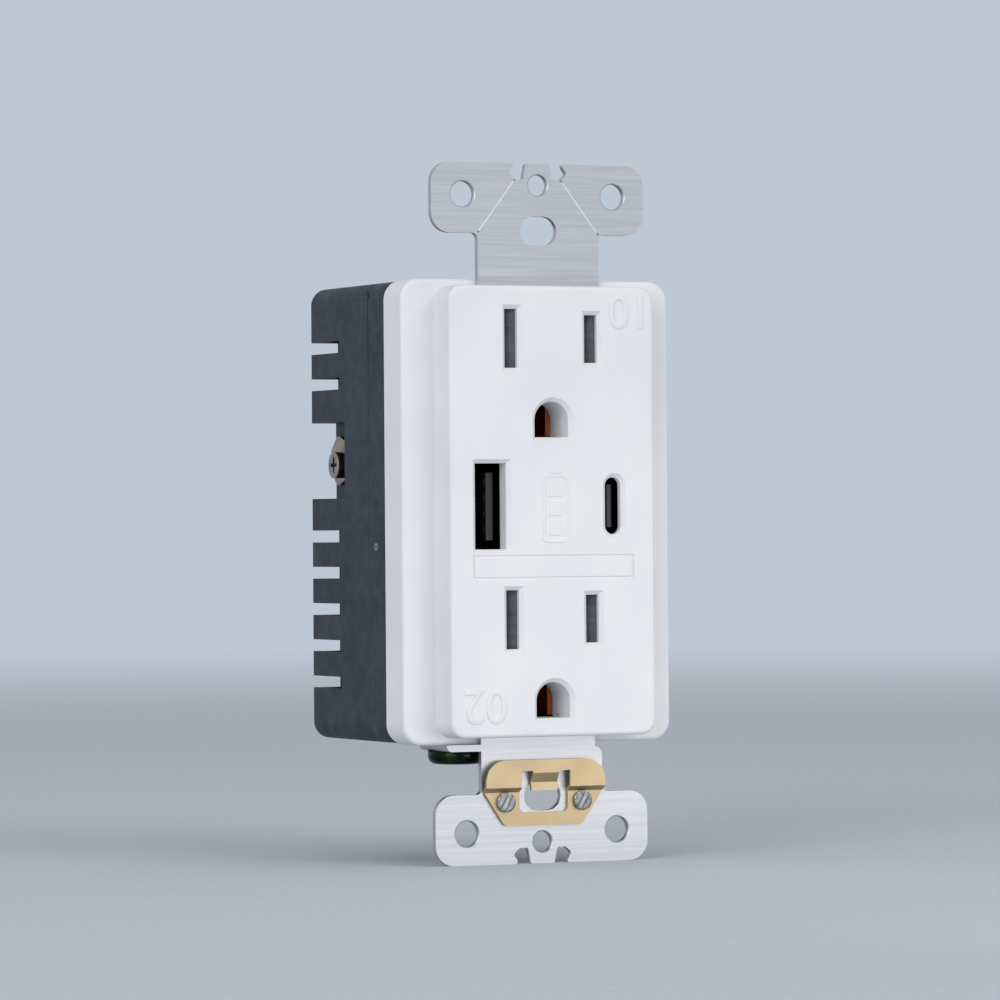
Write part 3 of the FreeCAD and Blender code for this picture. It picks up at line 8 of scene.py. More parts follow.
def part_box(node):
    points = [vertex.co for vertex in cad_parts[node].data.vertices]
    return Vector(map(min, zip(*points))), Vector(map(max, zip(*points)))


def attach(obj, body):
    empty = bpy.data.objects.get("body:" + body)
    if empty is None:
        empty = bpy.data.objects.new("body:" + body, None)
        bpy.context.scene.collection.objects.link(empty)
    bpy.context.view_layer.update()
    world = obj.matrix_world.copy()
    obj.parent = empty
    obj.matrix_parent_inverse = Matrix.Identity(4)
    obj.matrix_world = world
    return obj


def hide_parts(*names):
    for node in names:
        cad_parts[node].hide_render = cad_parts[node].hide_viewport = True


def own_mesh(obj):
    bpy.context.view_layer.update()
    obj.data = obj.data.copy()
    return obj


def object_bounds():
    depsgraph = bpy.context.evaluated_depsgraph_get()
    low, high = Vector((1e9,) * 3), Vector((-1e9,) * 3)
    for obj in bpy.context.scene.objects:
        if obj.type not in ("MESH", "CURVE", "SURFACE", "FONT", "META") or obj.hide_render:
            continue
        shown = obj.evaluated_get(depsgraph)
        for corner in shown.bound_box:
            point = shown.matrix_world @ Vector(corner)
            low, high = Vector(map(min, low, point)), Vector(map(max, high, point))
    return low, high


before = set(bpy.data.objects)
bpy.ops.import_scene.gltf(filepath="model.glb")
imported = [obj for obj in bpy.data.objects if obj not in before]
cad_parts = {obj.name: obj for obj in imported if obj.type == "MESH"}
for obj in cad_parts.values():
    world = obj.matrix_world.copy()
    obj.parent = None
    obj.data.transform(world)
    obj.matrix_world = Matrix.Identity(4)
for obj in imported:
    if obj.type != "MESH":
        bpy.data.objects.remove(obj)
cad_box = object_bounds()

# A duplex wall receptacle with two charging ports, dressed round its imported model.
# X runs to the right seen from the room, Y into the wall, Z up, in metres.

MM = 0.001

# Where the reference view was taken from, in degrees and millimetres
CAMERA_AZIMUTH = -25.11
CAMERA_ELEVATION = -0.333
CAMERA_ROLL = -0.426
CAMERA_DISTANCE = 779.44
AIM_RIGHT = 5.93
AIM_DOWN = 1.97
LENS = 190.11
SENSOR = 36.0

# Studio sizes, in metres, and its colours
FLOOR_RADIUS = 9.0
FADE_START = 0.45
FADE_END = 1.5
FLOOR_DARK = "#C6CCD6"
FLOOR_PALE = "#CFD5DE"
BACKGROUND = "#BEC7D4"
SKY = "#F1F3F6"
SKY_STRENGTH = 0.58

# Raised marks on the face, in millimetres. Middles are (right, up) from the socket's middle.
MARK_RAISE = 0.14
MARK_SLOPE = 0.1
NUMBER_HEIGHT = 5.0
CAPITAL_SHARE = 0.7
UPPER_NUMBER = (12.0, 29.65)
LOWER_NUMBER = (-11.3, -28.25)
BATTERY_MIDDLE = (0.3, 0.7)
BATTERY_WIDTH = 4.4
BATTERY_HEIGHT = 10.2
BATTERY_LINE = 0.55
BATTERY_CORNER = 0.9
BATTERY_LEVELS = 3
BATTERY_CAP = 0.77
BATTERY_CAP_CORNER = 0.308

# The clip's rivets, in millimetres: heads and shank across, and ridges that lean so many degrees
RIVET_HEAD = 2.9
RIVET_SHANK = 1.8
RIVET_HEIGHT = 0.55
RIVET_RIDGES = 3.5
RIDGE_RISE = 0.1
RIDGE_LEAN = 62
# Shares of the head's radius where the ridges start to fade and the rim to fall away
RIDGE_FADE = 0.75
RIM_FALL = 0.8
# The head behind the strap narrows to this share of its width over this share of its height
BACK_CROWN = 0.85
BACK_CROWN_DEPTH = 0.3

# Springs: the wire in millimetres, its turns, the share of the coil that lies closed at each end,
# and how finely a turn and the wire are divided
SPRING_WIRE = 0.26
SPRING_TURNS = 7
SPRING_CLOSED = 0.1
SPRING_STEPS = 28
SPRING_SIDES = 10

# Score lines, the mould's pin mark and the housing's seam, in millimetres
SCORE_TOP = (3.75, 49.25)
SCORE_LOW = (9.87, 41.25)
SCORE_WIDTH = 0.36
SCORE_DEPTH = 0.06
SCORE_RISE = 0.04
PIN_MARK = (11.9, -4.8)
PIN_MARK_RADIUS = 0.58
PIN_MARK_WIDTH = 0.22
PIN_MARK_RAISE = 0.05
PIN_MARK_SINK = 0.02
PARTING_DROP = 1.2
PARTING_LENGTH = 13.0
PARTING_WIDTH = 0.34
PARTING_SINK = 0.05
PARTING_RAISE = 0.03

# Corners closer than this are one corner, in millimetres
SAME_CORNER = 0.001
SAME_DRAWN_CORNER = 0.002


# Finding places

def lowest(node):
    """The left, front and bottom of a node's box."""
    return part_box(node)[0]


def highest(node):
    """The right, back and top of a node's box."""
    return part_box(node)[1]


def middle(node):
    """The middle of a node's box."""
    low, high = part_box(node)
    return (low + high) / 2


# Colour and shader nodes

def linear(code):
    """An sRGB hex colour as the linear colour that a shader takes."""
    channels = [int(code[start:start + 2], 16) / 255 for start in (1, 3, 5)]
    return tuple(c / 12.92 if c <= 0.04045 else ((c + 0.055) / 1.055) ** 2.4 for c in channels) + (1.0,)


def per_mm(size):
    """The texture scale that repeats a pattern about every size millimetres."""
    return 1 / (size * MM)


def add(tree, kind, inputs=None, **settings):
    """Adds a shader node with its settings. Each input is set, or follows another node's output."""
    made = tree.nodes.new("ShaderNode" + kind)
    for name, value in settings.items():
        setattr(made, name, value)
    for name, value in (inputs or {}).items():
        if isinstance(value, bpy.types.NodeSocket):
            tree.links.new(value, made.inputs[name])
        else:
            made.inputs[name].default_value = value
    return made


def finish_named(name, even):
    """A new material: its tree and its surface shader, with the values that are even all over."""
    made = bpy.data.materials.new(name)
    made.use_nodes = True
    tree = made.node_tree
    surface = tree.nodes["Principled BSDF"]
    for socket, value in even.items():
        surface.inputs[socket].default_value = value
    return made, tree, surface


def mottling(tree, size, stretch=(1, 1, 1), detail=3.0):
    """Soft patches about size millimetres across, longer where stretch is small."""
    place = add(tree, "TexCoord").outputs["Object"]
    moved = add(tree, "Mapping", {"Vector": place, "Scale": stretch}).outputs["Vector"]
    patches = add(tree, "TexNoise", {"Vector": moved, "Scale": per_mm(size), "Detail": detail})
    return patches.outputs["Fac"]


def between(tree, factor, low, high, start=0.3, end=0.7):
    """A number that goes from low to high as factor goes from start to end."""
    span = {"Value": factor, "From Min": start, "From Max": end, "To Min": low, "To Max": high}
    return add(tree, "MapRange", span).outputs["Result"]


def blended(tree, factor, first, second):
    """A colour between two, each a hex code or another node's output."""
    colours = [linear(colour) if isinstance(colour, str) else colour for colour in (first, second)]
    made = add(tree, "MixRGB", {"Fac": factor, "Color1": colours[0], "Color2": colours[1]})
    return made.outputs["Color"]


def specks(tree, spacing, radius, share):
    """1 in small round specks, about one in each cell of spacing millimetres, on a share of the cells."""
    place = add(tree, "TexCoord").outputs["Object"]
    cells = add(tree, "TexVoronoi", {"Vector": place, "Scale": per_mm(spacing)})
    inside = add(tree, "Math", {0: cells.outputs["Distance"], 1: radius / spacing}, operation="LESS_THAN")
    split = add(tree, "SeparateColor", {"Color": cells.outputs["Color"]})
    chosen = add(tree, "Math", {0: split.outputs["Red"], 1: share}, operation="LESS_THAN")
    both = add(tree, "Math", {0: inside.outputs["Value"], 1: chosen.outputs["Value"]}, operation="MULTIPLY")
    return both.outputs["Value"]


def relief(tree, surface, height, depth):
    """Bumps of depth millimetres that follow height."""
    bump = add(tree, "Bump", {"Height": height, "Distance": depth * MM, "Strength": 1.0})
    tree.links.new(bump.outputs["Normal"], surface.inputs["Normal"])


# Finishes

def white_polycarbonate():
    """Polycarbonate, injection moulded in a lightly sparked tool: an even satin white with a breath of
    cloudiness, a few dust specks and a grain that only breaks up the highlight."""
    made, tree, surface = finish_named("white_polycarbonate", {"IOR": 1.58, "Specular IOR Level": 0.4})
    clouds = mottling(tree, 14.0, detail=2.0)
    body = blended(tree, between(tree, clouds, 0, 1), "#E7E7E9", "#EEEEEE")
    dusty = specks(tree, 4.6, 0.07, 0.16)
    colour = blended(tree, dusty, body, "#A8A6A0")
    tree.links.new(colour, surface.inputs["Base Color"])
    rough = between(tree, mottling(tree, 3.0), 0.40, 0.52)
    tree.links.new(rough, surface.inputs["Roughness"])
    # Spark grain is about 0.1 mm; drawn at 0.3 mm so that it shows
    relief(tree, surface, mottling(tree, 0.3, detail=2.0), 0.003)
    return made


def charcoal_polycarbonate():
    """Dark glass-filled polycarbonate, moulded: slate grey, satin, with cloudy mottling where the filler
    lies, pale dust and a coarser grain than the white parts."""
    made, tree, surface = finish_named("charcoal_polycarbonate", {"IOR": 1.58, "Specular IOR Level": 0.3})
    clouds = mottling(tree, 6.0, detail=5.0)
    body = blended(tree, between(tree, clouds, 0, 1), "#2A2F37", "#333942")
    dusty = specks(tree, 2.3, 0.06, 0.3)
    colour = blended(tree, dusty, body, "#6A7079")
    tree.links.new(colour, surface.inputs["Base Color"])
    rough = between(tree, mottling(tree, 2.0, detail=5.0), 0.48, 0.66)
    tree.links.new(rough, surface.inputs["Roughness"])
    # The filler's grain is finer than 0.2 mm; drawn at 0.35 mm so that it shows
    relief(tree, surface, mottling(tree, 0.35, detail=3.0), 0.008)
    return made


def shutter_acetal():
    """Acetal, moulded: a smooth dark grey with faint bands along the way it slides."""
    made, tree, surface = finish_named("shutter_acetal", {"IOR": 1.48})
    bands = mottling(tree, 1.1, stretch=(0.05, 0.05, 1))
    colour = blended(tree, between(tree, bands, 0, 1), "#3A3F47", "#5C6067")
    tree.links.new(colour, surface.inputs["Base Color"])
    tree.links.new(between(tree, bands, 0.36, 0.48), surface.inputs["Roughness"])
    relief(tree, surface, bands, 0.01)
    return made


def brushed_steel():
    """Stainless sheet, brushed along its width: fine lines a centimetre and more long on an even pale
    grey, which spread the light up and down."""
    made, tree, surface = finish_named("brushed_steel", {"Metallic": 1.0})
    # Brush lines are about 0.05 mm apart; drawn at 0.12 mm so that they show
    fine = mottling(tree, 0.12, stretch=(0.012, 1, 1), detail=1.0)
    broad = mottling(tree, 0.45, stretch=(0.016, 1, 1), detail=2.0)
    lines = add(tree, "Math", {0: fine, 1: broad}, operation="ADD").outputs["Value"]
    colour = blended(tree, between(tree, lines, 0, 1, 0.75, 1.25), "#BFC0C3", "#CFCFD1")
    tree.links.new(colour, surface.inputs["Base Color"])
    tree.links.new(between(tree, fine, 0.42, 0.5), surface.inputs["Roughness"])
    relief(tree, surface, lines, 0.0015)
    return made


def bright_zinc():
    """Steel plated with bright zinc: silver, slightly dull in patches where it was tumbled."""
    made, tree, surface = finish_named("bright_zinc", {"Metallic": 1.0})
    tumbled = mottling(tree, 0.7, detail=4.0)
    colour = blended(tree, between(tree, tumbled, 0, 1), "#82837F", "#A8A8A5")
    tree.links.new(colour, surface.inputs["Base Color"])
    tree.links.new(between(tree, tumbled, 0.24, 0.4), surface.inputs["Roughness"])
    relief(tree, surface, tumbled, 0.01)
    return made


def chromated_zinc():
    """Steel plated with zinc under a thin chromate film: silver with pink, violet and straw tints that
    drift across each piece."""
    made, tree, surface = finish_named("chromated_zinc", {"Metallic": 1.0})
    film = mottling(tree, 2.6, detail=1.0)
    warm = blended(tree, between(tree, film, 0, 1, 0.35, 0.6), "#A39C98", "#AD9678")
    tint = mottling(tree, 2.1, detail=0.0)
    colour = blended(tree, between(tree, tint, 0, 0.7, 0.42, 0.7), warm, "#86687E")
    tree.links.new(colour, surface.inputs["Base Color"])
    tree.links.new(between(tree, film, 0.14, 0.26), surface.inputs["Roughness"])
    relief(tree, surface, mottling(tree, 0.6), 0.006)
    return made


def green_dyed_zinc():
    """Zinc plating dyed green: dark bottle green with yellow-green where the dye is thin."""
    made, tree, surface = finish_named("green_dyed_zinc", {"Metallic": 0.85})
    dye = mottling(tree, 2.4, detail=2.0)
    colour = blended(tree, between(tree, dye, 0, 1, 0.45, 0.8), "#0D190F", "#2C3F1C")
    tree.links.new(colour, surface.inputs["Base Color"])
    tree.links.new(between(tree, dye, 0.18, 0.28), surface.inputs["Roughness"])
    relief(tree, surface, mottling(tree, 0.5), 0.006)
    return made


def brass_sheet():
    """Half-hard brass strip, tumbled after stamping: pale straw, matt, with faint rolling lines."""
    made, tree, surface = finish_named("brass_sheet", {"Metallic": 1.0})
    clouds = mottling(tree, 4.0, detail=3.0)
    rolled = mottling(tree, 0.2, stretch=(0.03, 1, 1))
    base = blended(tree, between(tree, clouds, 0, 1), "#C0AB85", "#CBB693")
    colour = blended(tree, between(tree, rolled, 0, 0.25), base, "#B6A07A")
    tree.links.new(colour, surface.inputs["Base Color"])
    tree.links.new(between(tree, clouds, 0.42, 0.55), surface.inputs["Roughness"])
    relief(tree, surface, rolled, 0.003)
    return made


def copper_in_painted_shade():
    """Copper alloy strip, bare: orange-brown mottled with tarnish, darkened all over as painted shade for
    its place deep in the ground holes.
    """
    made, tree, surface = finish_named("copper_in_painted_shade", {"Metallic": 1.0})
    tarnish = mottling(tree, 1.8, detail=4.0)
    # Both browns are darkened as painted shade for the ground holes; the mottling between them is tarnish
    colour = blended(tree, between(tree, tarnish, 0, 1), "#5A2C17", "#9A5A34")
    tree.links.new(colour, surface.inputs["Base Color"])
    tree.links.new(between(tree, tarnish, 0.28, 0.45), surface.inputs["Roughness"])
    relief(tree, surface, tarnish, 0.006)
    return made


def shell_in_painted_shade():
    """Thin steel, drawn and plated: painted a very dark grey as shade for the inside of its port, with fine
    drawing lines along the depth.
    """
    made, tree, surface = finish_named("shell_in_painted_shade", {"Metallic": 1.0})
    drawn = mottling(tree, 0.25, stretch=(1, 0.05, 1))
    # The near-black greys are painted shade for the port's inside, not the plating's colour
    colour = blended(tree, between(tree, drawn, 0, 1), "#202124", "#2E2F33")
    tree.links.new(colour, surface.inputs["Base Color"])
    tree.links.new(between(tree, drawn, 0.3, 0.42), surface.inputs["Roughness"])
    relief(tree, surface, drawn, 0.003)
    return made


def port_plastic():
    """Black heat-proof polyamide, moulded: near black, a little glossy."""
    made, tree, surface = finish_named("port_plastic", {"IOR": 1.53})
    clouds = mottling(tree, 1.5, detail=4.0)
    colour = blended(tree, between(tree, clouds, 0, 1), "#1F2023", "#2A2B2F")
    tree.links.new(colour, surface.inputs["Base Color"])
    tree.links.new(between(tree, clouds, 0.34, 0.5), surface.inputs["Roughness"])
    relief(tree, surface, mottling(tree, 0.2), 0.004)
    return made


def gold_in_painted_shade():
    """Bronze with a thin gold flash, deep in its port: painted a dull brown as the port's shade, rubbed
    where a plug slides.
    """
    made, tree, surface = finish_named("gold_in_painted_shade", {"Metallic": 1.0})
    rubbed = mottling(tree, 0.5, stretch=(1, 0.2, 1))
    # The dull browns are painted shade for the port's depth, not the gold's colour
    colour = blended(tree, between(tree, rubbed, 0, 1), "#2A241A", "#4A3D26")
    tree.links.new(colour, surface.inputs["Base Color"])
    tree.links.new(between(tree, rubbed, 0.18, 0.32), surface.inputs["Roughness"])
    return made


def board_laminate():
    """Glass-epoxy laminate under solder mask: green, glossy, with the weave just showing."""
    made, tree, surface = finish_named("board_laminate", {"IOR": 1.5})
    place = add(tree, "TexCoord").outputs["Object"]
    # The cloth's threads are about 0.5 mm apart; drawn as bands about 3 mm apart so that they show
    warp = add(tree, "TexWave", {"Vector": place, "Scale": per_mm(0.5) / 20, "Distortion": 0.4})
    tracks = mottling(tree, 2.2, stretch=(1, 0.1, 0.3))
    base = blended(tree, between(tree, warp.outputs["Fac"], 0, 1, 0, 1), "#174A2B", "#1C5632")
    colour = blended(tree, between(tree, tracks, 0, 0.6, 0.5, 0.54), base, "#2C6B42")
    tree.links.new(colour, surface.inputs["Base Color"])
    tree.links.new(between(tree, tracks, 0.25, 0.4), surface.inputs["Roughness"])
    relief(tree, surface, tracks, 0.01)
    return made


def plain_solid(name, dark, pale, rough, grain, depth):
    """Small and inner parts of one colour with a grain: grain in millimetres, depth of its bumps too."""
    made, tree, surface = finish_named(name, {"IOR": 1.5})
    clouds = mottling(tree, grain, detail=4.0)
    colour = blended(tree, between(tree, clouds, 0, 1), dark, pale)
    tree.links.new(colour, surface.inputs["Base Color"])
    tree.links.new(between(tree, clouds, rough, rough + 0.12), surface.inputs["Roughness"])
    relief(tree, surface, clouds, depth)
    return made


WHITE = white_polycarbonate()
CHARCOAL = charcoal_polycarbonate()
ACETAL = shutter_acetal()
STEEL = brushed_steel()
ZINC = bright_zinc()
CHROMATE = chromated_zinc()
GREEN = green_dyed_zinc()
BRASS = brass_sheet()
COPPER_IN_PAINTED_SHADE = copper_in_painted_shade()
SHELL_IN_PAINTED_SHADE = shell_in_painted_shade()
BLACK = port_plastic()
GOLD_IN_PAINTED_SHADE = gold_in_painted_shade()
LAMINATE = board_laminate()
# Sintered ferrite, ground: dark grey and stony
FERRITE = plain_solid("ferrite", "#2A2A2C", "#3A3A3D", 0.55, 0.6, 0.02)
# Polyester tape over the winding: yellow and smooth
TAPE = plain_solid("winding_tape", "#C9A632", "#D8B949", 0.3, 5.0, 0.01)
# Shrunk sleeve on a can: dark blue-grey, glossy
SLEEVE = plain_solid("capacitor_sleeve", "#23283A", "#2E3448", 0.22, 3.0, 0.005)
# Brown cap of a small fuse: moulded, half glossy
FUSE = plain_solid("fuse_cap", "#4A3728", "#5B4534", 0.35, 2.0, 0.01)
# Epoxy moulding round a chip: black and matt; also painted shade for the housing's seam
EPOXY_AND_SEAM_SHADE = plain_solid("chip_epoxy", "#18181A", "#232326", 0.6, 0.3, 0.01)
# Near-white strip in each scored line: a painted highlight, fine grained
SCORE_HIGHLIGHT = plain_solid("score_painted_highlight", "#E4E6E8", "#F2F3F4", 0.35, 0.3, 0.01)
# Dark polycarbonate rubbed pale where the mould's pin pushed
RUBBED = plain_solid("rubbed_polycarbonate", "#868E9A", "#A5ADB8", 0.5, 0.2, 0.01)
# Pressed paper board: grey-brown and fibrous
PAPER = plain_solid("pressed_board", "#857A66", "#9B9079", 0.8, 0.5, 0.02)

FINISHES = {
    "face_cover": WHITE,
    "front_frame": WHITE,
    "middle_housing": CHARCOAL,
    "rear_housing": CHARCOAL,
    "upper_shutter": ACETAL,
    "lower_shutter": ACETAL,
    "upper_shutter_tray": ACETAL,
    "lower_shutter_tray": ACETAL,
    "mounting_strap": STEEL,
    "ground_clip": BRASS,
    "clip_rivets": ZINC,
    "ground_screw": GREEN,
    "upper_ground_contact": COPPER_IN_PAINTED_SHADE,
    "lower_ground_contact": COPPER_IN_PAINTED_SHADE,
    "neutral_bus": BRASS,
    "hot_bus": BRASS,
    "neutral_clamp": CHROMATE,
    "hot_clamp": CHROMATE,
    "neutral_screw": CHROMATE,
    "hot_screw": CHROMATE,
    "upper_shutter_spring": ZINC,
    "lower_shutter_spring": ZINC,
    "usb_a_shell": SHELL_IN_PAINTED_SHADE,
    "usb_c_shell": SHELL_IN_PAINTED_SHADE,
    "usb_a_tongue": BLACK,
    "usb_c_tongue": BLACK,
    "usb_a_contacts": GOLD_IN_PAINTED_SHADE,
    "link_pins": GOLD_IN_PAINTED_SHADE,
    "usb_board": LAMINATE,
    "power_board": LAMINATE,
    "insulating_sheet": PAPER,
    "transformer_core": FERRITE,
    "transformer_winding": TAPE,
    "bulk_capacitors": SLEEVE,
    "output_capacitors": SLEEVE,
    "fuse": FUSE,
    "board_chips": EPOXY_AND_SEAM_SHADE,
    "assembly_screws": ZINC,
}


# How wide a piece's sharp edges are broken, in millimetres
EDGES = {
    "mounting_strap": 0.1,
    "middle_housing": 0.15,
    "rear_housing": 0.2,
    "neutral_clamp": 0.15,
    "hot_clamp": 0.15,
    "neutral_screw": 0.3,
    "hot_screw": 0.3,
    "assembly_screws": 0.3,
    "ground_screw": 0.25,
    "usb_a_shell": 0.08,
    "usb_c_shell": 0.08,
    "usb_a_tongue": 0.1,
    "usb_c_tongue": 0.1,
}
SHARP = math.radians(28)


def dress_nodes():
    """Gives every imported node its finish, and broken edges to those whose edges show sharp."""
    for node, finish in FINISHES.items():
        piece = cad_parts[node]
        piece.data.materials.clear()
        piece.data.materials.append(finish)
        if node in EDGES:
            break_edges(piece, EDGES[node] * MM)


def break_edges(piece, width):
    """Joins the facets' corners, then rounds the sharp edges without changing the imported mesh."""
    weld = piece.modifiers.new("join_facets", "WELD")
    weld.merge_threshold = SAME_CORNER * MM
    bevel = piece.modifiers.new("broken_edges", "BEVEL")
    bevel.width = width
    bevel.segments = 2
    bevel.limit_method = "ANGLE"
    bevel.angle_limit = SHARP
    bevel.harden_normals = True


# Pieces made here

def new_piece(name, mesh, finish, body):
    """A finished piece that rides on a body."""
    mesh.normal_update()
    data = bpy.data.meshes.new(name)
    mesh.to_mesh(data)
    mesh.free()
    piece = bpy.data.objects.new(name, data)
    bpy.context.scene.collection.objects.link(piece)
    data.materials.append(finish)
    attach(piece, body)
    return piece


def smooth_by_angle(piece, limit):
    """Smooth shading apart from edges sharper than limit degrees."""
    piece.data.shade_smooth()
    piece.data.set_sharp_from_angle(angle=math.radians(limit))


def tube(mesh, path, radius, around):
    """A round tube along a list of points, with flat ends."""
    rings = []
    for index, point in enumerate(path):
        before = path[max(index - 1, 0)]
        after = path[min(index + 1, len(path) - 1)]
        along = (after - before).normalized()
        out = along.cross(Vector((1, 0, 0))).normalized()
        up = along.cross(out)
        ring = []
        for step in range(around):
            turn = 2 * math.pi * step / around
            ring.append(mesh.verts.new(point + (out * math.cos(turn) + up * math.sin(turn)) * radius))
        rings.append(ring)
    for first, second in zip(rings, rings[1:]):
        for step in range(around):
            beside = (step + 1) % around
            mesh.faces.new((first[step], first[beside], second[beside], second[step]))
    mesh.faces.new(list(reversed(rings[0])))
    mesh.faces.new(rings[-1])


def shutter_spring(outlet):
    """A fine coil with closed ends, which takes the imported spring's place."""
    node = f"{outlet}_shutter_spring"
    low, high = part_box(node)
    centre = middle(node)
    wire = SPRING_WIRE * MM / 2
    radius = (high.z - low.z) / 2 - wire
    start = low.x + wire
    length = high.x - low.x - wire * 2
    steps = SPRING_TURNS * SPRING_STEPS
    path = []
    for step in range(steps + 1):
        share = step / steps
        # Most of the first and the last turn lies flat against its seat
        advance = min(max((share - SPRING_CLOSED) / (1 - SPRING_CLOSED * 2), 0), 1)
        along = start + wire * 2 * share + (length - wire * 2) * advance
        turn = 2 * math.pi * SPRING_TURNS * share
        path.append(Vector((along, centre.y + radius * math.cos(turn), centre.z + radius * math.sin(turn))))
    mesh = bmesh.new()
    tube(mesh, path, wire, SPRING_SIDES)
    piece = new_piece(f"{outlet}_fine_spring", mesh, ZINC, "root")
    smooth_by_angle(piece, 50)
    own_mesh(piece)
    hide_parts(node)


def joined_loops(mesh, loops, capped=True):
    """Skins between closed loops of the same number of points, and closes the last one when capped."""
    rows = [[mesh.verts.new(point) for point in loop] for loop in loops]
    count = len(rows[0])
    for first, second in zip(rows, rows[1:]):
        for step in range(count):
            beside = (step + 1) % count
            mesh.faces.new((first[step], first[beside], second[beside], second[step]))
    if capped:
        mesh.faces.new(rows[-1])
    return rows


def ridged_head(mesh, x, z, front):
    """A set rivet head, crossed by slanting ridges that fade out towards its rounded rim."""
    radius = RIVET_HEAD / 2 * MM
    around = 48
    rings = 14
    lean = math.radians(RIDGE_LEAN)
    loops = []
    for ring in range(rings, 0, -1):
        share = ring / rings
        loop = []
        for step in range(around):
            turn = 2 * math.pi * step / around
            across = math.cos(turn) * radius * share
            up = math.sin(turn) * radius * share
            slant = (across * math.sin(lean) - up * math.cos(lean)) / radius
            fade = 1 - max(0.0, (share - RIDGE_FADE) / (1 - RIDGE_FADE)) ** 2
            rise = RIDGE_RISE * MM * math.sin(slant * math.pi * RIVET_RIDGES) * fade
            drop = RIDGE_RISE * MM * max(0.0, (share - RIM_FALL) / (1 - RIM_FALL)) ** 2
            loop.append((x + across, front - rise + drop, z + up))
        loops.append(loop)
    return loops


def clip_rivet(mesh, x, z, front, back):
    """A whole rivet: ridged head on the clip, shank through the strap, plain head behind it."""
    head = ridged_head(mesh, x, z, front)
    around = len(head[0])
    wide = RIVET_HEAD / 2 * MM
    narrow = RIVET_SHANK / 2 * MM
    height = RIVET_HEIGHT * MM
    seats = [
        (wide * BACK_CROWN, back),
        (wide, back - height * BACK_CROWN_DEPTH),
        (wide, back - height),
        (narrow, back - height),
        (narrow, front + height),
        (wide, front + height),
    ]
    turns = [2 * math.pi * step / around for step in range(around)]
    loops = []
    for radius, depth in seats:
        loops.append([(x + math.cos(t) * radius, depth, z + math.sin(t) * radius) for t in turns])
    rows = joined_loops(mesh, loops + head)
    mesh.faces.new(rows[0])


def clip_rivets():
    """The two rivets that hold the brass clip on the strap."""
    low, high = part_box("clip_rivets")
    inset = RIVET_HEAD / 2 * MM
    mesh = bmesh.new()
    for x in (low.x + inset, high.x - inset):
        clip_rivet(mesh, x, (low.z + high.z) / 2, low.y, high.y)
    bmesh.ops.recalc_face_normals(mesh, faces=mesh.faces)
    piece = new_piece("ridged_rivets", mesh, ZINC, "root")
    smooth_by_angle(piece, 40)
    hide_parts("clip_rivets")


def rounded_loop(middle_x, middle_z, width, height, corner, depth):
    """Points round a rectangle with round corners, in a plane that faces the room."""
    steps = 6
    loop = []
    for quarter in range(4):
        side = 1 if quarter in (0, 3) else -1
        end = 1 if quarter in (0, 1) else -1
        for step in range(steps + 1):
            turn = math.pi / 2 * (quarter + step / steps)
            across = side * (width / 2 - corner) + corner * math.cos(turn)
            up = end * (height / 2 - corner) + corner * math.sin(turn)
            loop.append(((middle_x + across) * MM, depth, (middle_z + up) * MM))
    return loop


def raised_outline(mesh, place, width, height, corner, line):
    """A rounded rectangle drawn in a raised line with sloping sides, or filled where line is None."""
    face = lowest("face_cover").y
    top = face - MARK_RAISE * MM
    foot = face + MARK_RAISE * MM
    steps = [(0, foot), (MARK_SLOPE, top)]
    if line:
        steps += [(line - MARK_SLOPE, top), (line, foot)]
    loops = []
    for inset, depth in steps:
        loops.append(rounded_loop(*place, width - 2 * inset, height - 2 * inset, corner - inset, depth))
    joined_loops(mesh, loops, capped=line is None)


def battery_mark():
    """A plain battery between the ports: outline, cap and charge levels."""
    mesh = bmesh.new()
    middle_x, middle_z = BATTERY_MIDDLE
    raised_outline(mesh, BATTERY_MIDDLE, BATTERY_WIDTH, BATTERY_HEIGHT, BATTERY_CORNER, BATTERY_LINE)
    cap_place = (middle_x, middle_z + BATTERY_HEIGHT / 2 + BATTERY_CAP / 2)
    raised_outline(mesh, cap_place, BATTERY_WIDTH / 2, BATTERY_CAP, BATTERY_CAP_CORNER, None)
    room = BATTERY_HEIGHT - BATTERY_LINE * 3
    pitch = room / BATTERY_LEVELS
    first = middle_z - room / 2 + pitch / 2
    level_width = BATTERY_WIDTH - BATTERY_LINE * 4
    for level in range(BATTERY_LEVELS):
        level_place = (middle_x, first + pitch * level)
        raised_outline(mesh, level_place, level_width, pitch - BATTERY_LINE, BATTERY_LINE / 2, None)
    bmesh.ops.recalc_face_normals(mesh, faces=mesh.faces)
    piece = new_piece("battery_mark", mesh, WHITE, "root")
    smooth_by_angle(piece, 30)


